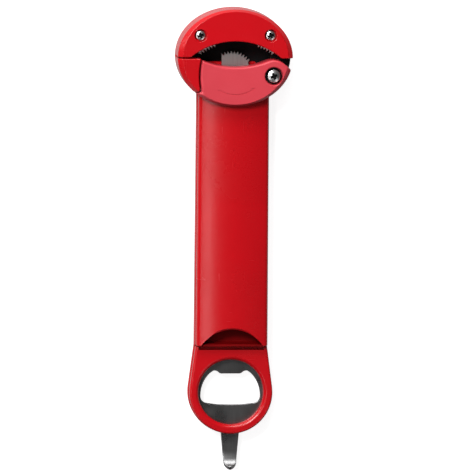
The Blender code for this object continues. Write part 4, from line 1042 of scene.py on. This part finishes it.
def make_scoop_floor(deep, materials):
    """What is left standing in the scoop at the handle's end: a low wall with a ramp on its inner side."""
    wall_y = HANDLE_END_Y + SCOOP_WALL
    outside_y = HANDLE_END_Y - 2 * BEYOND
    high = HANDLE_TOP - CROWN_SAG / 2 - SCOOP_LIP
    profile = [(outside_y, high), (wall_y - 0.4 * MM, high), (wall_y - 0.1 * MM, high - 0.1 * MM)]
    for i in range(1, 17):
        share = i / 16
        profile.append((wall_y + SCOOP_RAMP * share, deep + (high - deep) * (1 - share) ** 2))
    profile += [(wall_y + SCOOP_RAMP, deep - BEYOND), (outside_y, deep - BEYOND)]
    floor = prism("scoop_floor", profile, -HEAD_WIDTH / 2, HEAD_WIDTH / 2)
    floor.data.transform(Matrix(((0, 0, 1, 0), (1, 0, 0, 0), (0, 1, 0, 0), (0, 0, 0, 1))))
    # The ramp and the low wall also take the darker red, which is painted shade.
    floor.data.materials.append(materials["scoop_painted_shade"])
    return floor


def make_ring_cover(materials):
    def outline_at(inset):
        return ring_outline(COVER_LEDGE + inset, GAP + inset * 0.4)

    top = RING_HIGH[2]
    rings = [(outline_at(0.0), RING_LOW[2])]
    rings += [(outline_at(RING_EDGE * across), top - RING_EDGE * down) for across, down in quarter(6)]
    rings.append((outline_at(RING_EDGE + 0.1 * MM), top))
    cover = finish_mesh("ring_front", raise_outline(rings), materials["red"])
    room = prism("plate_room", plate_outline(-GAP), -BEYOND, PLATE_TOP + GAP)
    half = TONGUE_ROOT_HALF_WIDTH + GAP
    slot_low = (-half, RING_Y - RING_RADIUS - BEYOND, -BEYOND)
    slot = block("tongue_slot", slot_low, (half, RING_Y - RING_RADIUS + BEYOND, PLATE_TOP + GAP))
    channel_low = (-CHANNEL_HALF, HANDLE_END_Y - CHANNEL_WIDTH, top - CHANNEL_DEPTH)
    channel = block("channel", channel_low, (CHANNEL_HALF, HANDLE_END_Y + GAP, HEAD_TOP))
    hole = flared_hole("ring_hole", (0.0, RING_Y), RING_HOLE_RADIUS, -BEYOND, top, RING_CHAMFER, 128)
    cut(cover, room, slot, channel, hole)
    return settle(cover, "handle", "red_plastic", "ring_cover")


def make_back_shell(materials):
    """The tray behind everything, with seats for the plate, the slide plate, the barrel and the screws."""
    rings = [(shell_outline(BACK_EDGE * down), BACK_EDGE * across) for across, down in quarter(5)]
    for inset, drop in ((0.0, TRAY_EDGE), (0.3 * TRAY_EDGE, 0.3 * TRAY_EDGE), (TRAY_EDGE, 0.0)):
        rings.append((shell_outline(inset), TRAY_TOP - drop))
    shell = finish_mesh("back_half", raise_outline(rings), materials["red"])
    wide = HEAD_WIDTH
    top = 2 * TRAY_TOP
    head_room = block("head_room", (-wide, HANDLE_TOP_Y, HEAD_FLOOR), (wide, 4 * wide, top))
    ring_room = block("ring_room", (-wide, -4 * wide, RING_BASE), (wide, HANDLE_END_Y, top))
    half = TANG_HALF_WIDTH + GAP
    tang = block("tang_room", (-half, HANDLE_END_Y - BEYOND, RING_BASE), (half, PLATE_HIGH[1] + GAP, top))
    recess = prism("slide_room", head_room_outline(), SLIDE_LOW[2] - GAP, top)
    cut(recess, block("below_recess", (-wide, -wide, -BEYOND), (wide, SLIDE_LOW[1] - GAP, 2 * top)))
    cut(shell, head_room, ring_room, tang, recess, back_ring_hole())
    for node in BACK_SCREWS:
        cut(shell, upright_cylinder("seat", middle(node), BACK_HEAD[0] + GAP, -BEYOND, SCREW_SEAT, 48))
    barrel_low, barrel_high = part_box("pivot_barrel")
    radius = (barrel_high[0] - barrel_low[0]) / 2 + GAP
    cut(shell, upright_cylinder("flange_room", PIVOT_AT, radius, -BEYOND, FLANGE_ROOM))
    return settle(shell, "handle", "red_plastic", "back_shell")


def back_ring_hole():
    """The ring's hole with its lip at the back: a flared hole turned upside down."""
    middle_at = (0.0, RING_Y)
    hole = flared_hole("back_ring_hole", middle_at, RING_HOLE_RADIUS, -TRAY_TOP, 0.0, BACK_HOLE_LIP, 128)
    hole.data.transform(Matrix.Scale(-1, 4, (0, 0, 1)))
    hole.data.flip_normals()
    return hole


def make_jaw_frame(materials):
    """The black frame between the floor and the covers, joined to its neck round the pivot."""
    low, high = FRAME_LOW[2], FRAME_HIGH[2]
    carrier = prism("jaw_carrier", frame_outline(), low, high, materials["black"])
    combine(carrier, prism("neck", web_outline(), low, high), "UNION")
    combine(carrier, upright_cylinder("lug", PIVOT_AT, LUG_RADIUS, low, high), "UNION")
    cut(carrier, upright_cylinder("bore", PIVOT_AT, BARREL_RADIUS + BORE_CLEARANCE, low - GAP, high + GAP))
    return settle(carrier, "jaw", "black_nylon", "jaw_frame")


def make_lower_jaw_base(materials):
    base = prism("jaw_block", base_outline(), BASE_LOW[2], BASE_HIGH[2], materials["red"])
    return settle(base, "handle", "red_plastic", "lower_jaw_base")


def bevelled_plate(name, outline, bottom, top, material):
    """A stamped plate with its outer edges just broken."""
    shape = raise_outline([(outline, bottom), (outline, top)])
    bmesh.ops.recalc_face_normals(shape, faces=shape.faces)
    edges = [e for e in shape.edges if abs(e.verts[0].co.z - e.verts[1].co.z) < 1e-7]
    bmesh.ops.bevel(
        shape,
        geom=edges,
        offset=STAMPED_EDGE,
        offset_type="OFFSET",
        segments=1,
        profile=0.5,
        affect="EDGES",
        material=-1,
        clamp_overlap=True,
    )
    return finish_mesh(name, shape, material, 20.0)


def make_tooth_plates(materials):
    low, high = SECTOR_LOW[2], SECTOR_HIGH[2]
    sector = bevelled_plate("lower_teeth", sector_outline(), low, high, materials["tooth"])
    settle(sector, "handle", "satin_steel", "tooth_sector")
    low, high = TEETH_LOW[2], TEETH_HIGH[2]
    # The upper teeth take the lighter steel, which is painted light.
    teeth = bevelled_plate("upper_teeth", tooth_plate_outline(), low, high, materials["upper_tooth_painted_lit"])
    return settle(teeth, "jaw", "satin_steel", "tooth_plate")


def tongue_stations():
    """Along the tongue: (y and z of its upper side, slope, half width)."""
    start_y = RING_Y - RING_RADIUS - TONGUE_FLAT
    inner = TONGUE_BEND_RADIUS - PLATE_THICKNESS
    root_y = RING_Y - RING_RADIUS + TONGUE_OVERLAP
    tip_y = PLATE_LOW[1]

    def half_width(y):
        share = (root_y - y) / (root_y - tip_y)
        width = TONGUE_ROOT_HALF_WIDTH + (TONGUE_TIP_HALF_WIDTH - TONGUE_ROOT_HALF_WIDTH) * share
        left = max(0.0, 1 - (y - tip_y) / TONGUE_TIP_HALF_WIDTH)
        return width * math.sqrt(max(0.03, 1 - left**2))

    stations = []
    for i in range(10):
        y = root_y + (start_y - root_y) * i / 9
        stations.append((y, PLATE_TOP, 0.0, half_width(y)))
    reach = math.asin((start_y - tip_y) / TONGUE_BEND_RADIUS)
    for i in range(1, 31):
        turn = reach * math.sin(math.radians(90 * i / 30))
        y = start_y - inner * math.sin(turn)
        low_y = start_y - TONGUE_BEND_RADIUS * math.sin(turn)
        stations.append((y, PLATE_TOP + inner * (1 - math.cos(turn)), turn, half_width(low_y)))
    return stations


def make_opener_plate(materials):
    shape = raise_outline(plate_rings(plate_outline, PLATE_LOW[2], PLATE_TOP, PLATE_EDGE))
    plate = finish_mesh("cap_opener_plate", shape, materials["plate"])
    low = PLATE_LOW[2]
    edge = APERTURE_EDGE
    rings = [(aperture_outline(APERTURE_BREAK), low - BEYOND), (aperture_outline(APERTURE_BREAK), low)]
    rings += [(aperture_outline(), low + APERTURE_BREAK), (aperture_outline(), PLATE_TOP - edge)]
    rings += [(aperture_outline(edge * across), PLATE_TOP - edge * down) for across, down in quarter(4, 1)]
    rings.append((aperture_outline(edge), PLATE_TOP + BEYOND))
    cut(plate, finish_mesh("cap_mouth", raise_outline(rings), None))
    combine(plate, make_tongue(), "UNION")
    return settle(plate, "handle", "satin_steel", "opener_plate")


def strip_section(half):
    """The tongue's section: points (across, below the upper side), anticlockwise, with rounded corners."""
    soft = min(TONGUE_EDGE, half * 0.5)
    points = []
    thick = PLATE_THICKNESS
    corners = ((half, thick, -90), (half, 0.0, 0), (-half, 0.0, 90), (-half, thick, 180))
    for x, depth, start in corners:
        middle_depth = depth - soft if depth else soft
        rounding = arc((x - math.copysign(soft, x), -middle_depth), soft, start, start + 90, 3)
        points += [(across, -up) for across, up in rounding]
    return points


def make_tongue():
    """The ring-pull tongue: a strip extruded along its curl and drawn in to a round tip."""
    rings = []
    for y, z, slope, half in tongue_stations():
        sine, cosine = math.sin(slope), math.cos(slope)
        rings.append([(x, y - depth * sine, z - depth * cosine) for x, depth in strip_section(half)])
    return finish_mesh("tongue", raise_rings(rings), None)


def screw_head(name, at, top, sizes, materials, face=1.0):
    """A round head with a soft edge and a cross recess, seen from above, or from below if face is -1."""
    radius, thickness, dome, cross = sizes
    bottom = top - face * thickness
    soft = HEAD_EDGE
    profile = [(0.0, bottom), (radius, bottom), (radius, top - face * (soft + dome))]
    for across, down in quarter(5, 1):
        profile.append((radius - soft * across, top - face * (dome + soft * down)))
    for i in range(1, 7):
        share = 1 - i / 6
        profile.append(((radius - soft) * share, top - face * dome * share**2))
    head = turned(name, at, profile, materials["screw"], 64)
    for turn in CROSS_TURNS:
        # Each arm carries the near-black recess material into the cut, which paints shade into the cross.
        cut(head, make_cross_arm(f"arm_{turn}", at, cross, top, face, turn, materials["recess"]))
    return head


def make_cross_arm(name, at, half_length, top, face, degrees, material):
    """One arm of a cross recess: a bar that narrows and shortens with depth."""
    shape = bmesh.new()
    width = half_length * 0.36
    depth = half_length * 0.62
    bmesh.ops.create_cube(shape, size=2.0)
    for vertex in shape.verts:
        deep = vertex.co.z < 0
        vertex.co.x *= half_length * (0.45 if deep else 1.25)
        vertex.co.y *= width * (0.55 if deep else 1.2)
        vertex.co.z = -depth if deep else depth * 0.3
    turn = Matrix.Rotation(math.radians(degrees), 3, "Z")
    if face < 0:
        turn = Matrix.Rotation(math.pi, 3, "X") @ turn
    bmesh.ops.rotate(shape, verts=shape.verts, cent=(0, 0, 0), matrix=turn)
    bmesh.ops.translate(shape, verts=shape.verts, vec=(at[0], at[1], top))
    return finish_mesh(name, shape, material, flats_lead=False)


def make_screws(materials):
    for side, at in JAW_SCREWS.items():
        node = f"upper_screw_{side}"
        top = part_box(node)[1][2] - JAW_HEAD_SUNK
        head = screw_head(f"jaw_screw_{side}", at, top, JAW_HEAD, materials)
        settle(head, "jaw", "bright_steel", node)
    head = screw_head("pivot_bolt", PIVOT_AT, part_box("pivot_screw")[1][2], PIVOT_HEAD, materials)
    settle(head, "handle", "bright_steel", "pivot_screw")
    for node in BACK_SCREWS:
        head = screw_head(node + "_head", middle(node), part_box(node)[0][2], BACK_HEAD, materials, -1.0)
        settle(head, "handle", "bright_steel", node)


def make_washer(materials):
    low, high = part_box("pivot_washer")
    outer = (high[0] - low[0]) / 2
    profile = [
        (WASHER_BORE, low[2]),
        (outer - WASHER_EDGE, low[2]),
        (outer, low[2] + WASHER_EDGE),
        (outer, high[2] - WASHER_EDGE),
        (outer - WASHER_EDGE, high[2]),
        (WASHER_BORE, high[2]),
        (WASHER_BORE, low[2]),
    ]
    washer = turned("pivot_disc", PIVOT_AT, profile, materials["black"])
    return settle(washer, "handle", "black_nylon", "pivot_washer")


def paint_hidden_nodes(materials):
    """The pieces inside that keep their own shape get the finish of their material."""
    finishes = {"slide_plate": "black", "pivot_barrel": "screw", "heel_screw": "screw"}
    finishes["jaw_spring"] = "spring"
    for node, finish in finishes.items():
        obj = frame["nodes"][node]
        obj.data.materials.clear()
        obj.data.materials.append(materials[finish])


# ---------- stage ----------


def make_floor():
    shape = bmesh.new()
    place = Matrix.Translation((0, 0, -FLOOR_GAP))
    bmesh.ops.create_grid(shape, x_segments=1, y_segments=1, size=3.0, matrix=place)
    floor = finish_mesh("floor", shape, None, flats_lead=False)
    material, tree, shader = new_material("pale_floor", 0.0, 0.1)
    shader.inputs["Base Color"].default_value = (0.5, 0.5, 0.5, 1.0)
    shader.inputs["Roughness"].default_value = 0.9
    shader.inputs["Emission Color"].default_value = (1.0, 1.0, 1.0, 1.0)
    seen = tree.nodes.new("ShaderNodeLightPath").outputs["Is Camera Ray"]
    tree.links.new(math_node(tree, "MULTIPLY", seen, FLOOR_GLOW), shader.inputs["Emission Strength"])
    floor.data.materials.append(material)
    floor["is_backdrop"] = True


def make_light(name, azimuth, elevation, distance, width, height, power):
    """A soft box that faces the opener. Its azimuth runs anticlockwise from the right."""
    turn = math.radians(azimuth)
    rise = math.radians(elevation)
    away = Vector((math.cos(turn) * math.cos(rise), math.sin(turn) * math.cos(rise), math.sin(rise)))
    light = bpy.data.lights.new(name, "AREA")
    light.shape = "RECTANGLE"
    light.size = width
    light.size_y = height
    light.energy = power
    obj = bpy.data.objects.new(name, light)
    bpy.context.scene.collection.objects.link(obj)
    obj.location = away * distance
    obj.rotation_euler = away.to_track_quat("Z", "Y").to_euler()


def make_lights():
    world = bpy.data.worlds.new("studio")
    world.use_nodes = True
    background = world.node_tree.nodes["Background"]
    background.inputs["Color"].default_value = (1.0, 1.0, 1.0, 1.0)
    background.inputs["Strength"].default_value = WORLD_LIGHT
    bpy.context.scene.world = world
    for name, values in LIGHTS.items():
        make_light(name, *values)


def make_camera():
    side = math.radians(VIEW_SIDE)
    head = math.radians(VIEW_HEAD)
    target = Vector(VIEW_TARGET)
    away = Vector((-math.tan(side), math.tan(head), 1.0)).normalized()
    lean = math.radians(VIEW_LEAN)
    up = Vector((-math.sin(lean), math.cos(lean), 0.0))
    up = (up - away * up.dot(away)).normalized()
    right = up.cross(away)
    camera = bpy.data.cameras.new("camera")
    camera.sensor_width = 36.0
    camera.lens = camera.sensor_width * VIEW_DISTANCE / FRAME_WIDTH
    obj = bpy.data.objects.new("camera", camera)
    bpy.context.scene.collection.objects.link(obj)
    turn = Matrix((right, up, away)).transposed().to_4x4()
    obj.matrix_world = Matrix.Translation(target + away * VIEW_DISTANCE) @ turn
    bpy.context.scene.camera = obj


def main():
    materials = make_materials()
    make_camera()
    make_floor()
    make_lights()
    make_back_shell(materials)
    make_handle_cover(materials)
    make_ring_cover(materials)
    make_opener_plate(materials)
    make_lower_jaw_base(materials)
    make_lower_jaw_cover(materials)
    make_tooth_plates(materials)
    make_jaw_frame(materials)
    make_upper_jaw_cover(materials)
    make_jaw_heel(materials)
    make_screws(materials)
    make_washer(materials)
    paint_hidden_nodes(materials)
    bpy.context.scene.view_settings.view_transform = "Standard"


main()
boxes = {"cad": CAD_BOX, "visual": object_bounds()}
{name: [list(map(float, corner)) for corner in box] for name, box in boxes.items()}
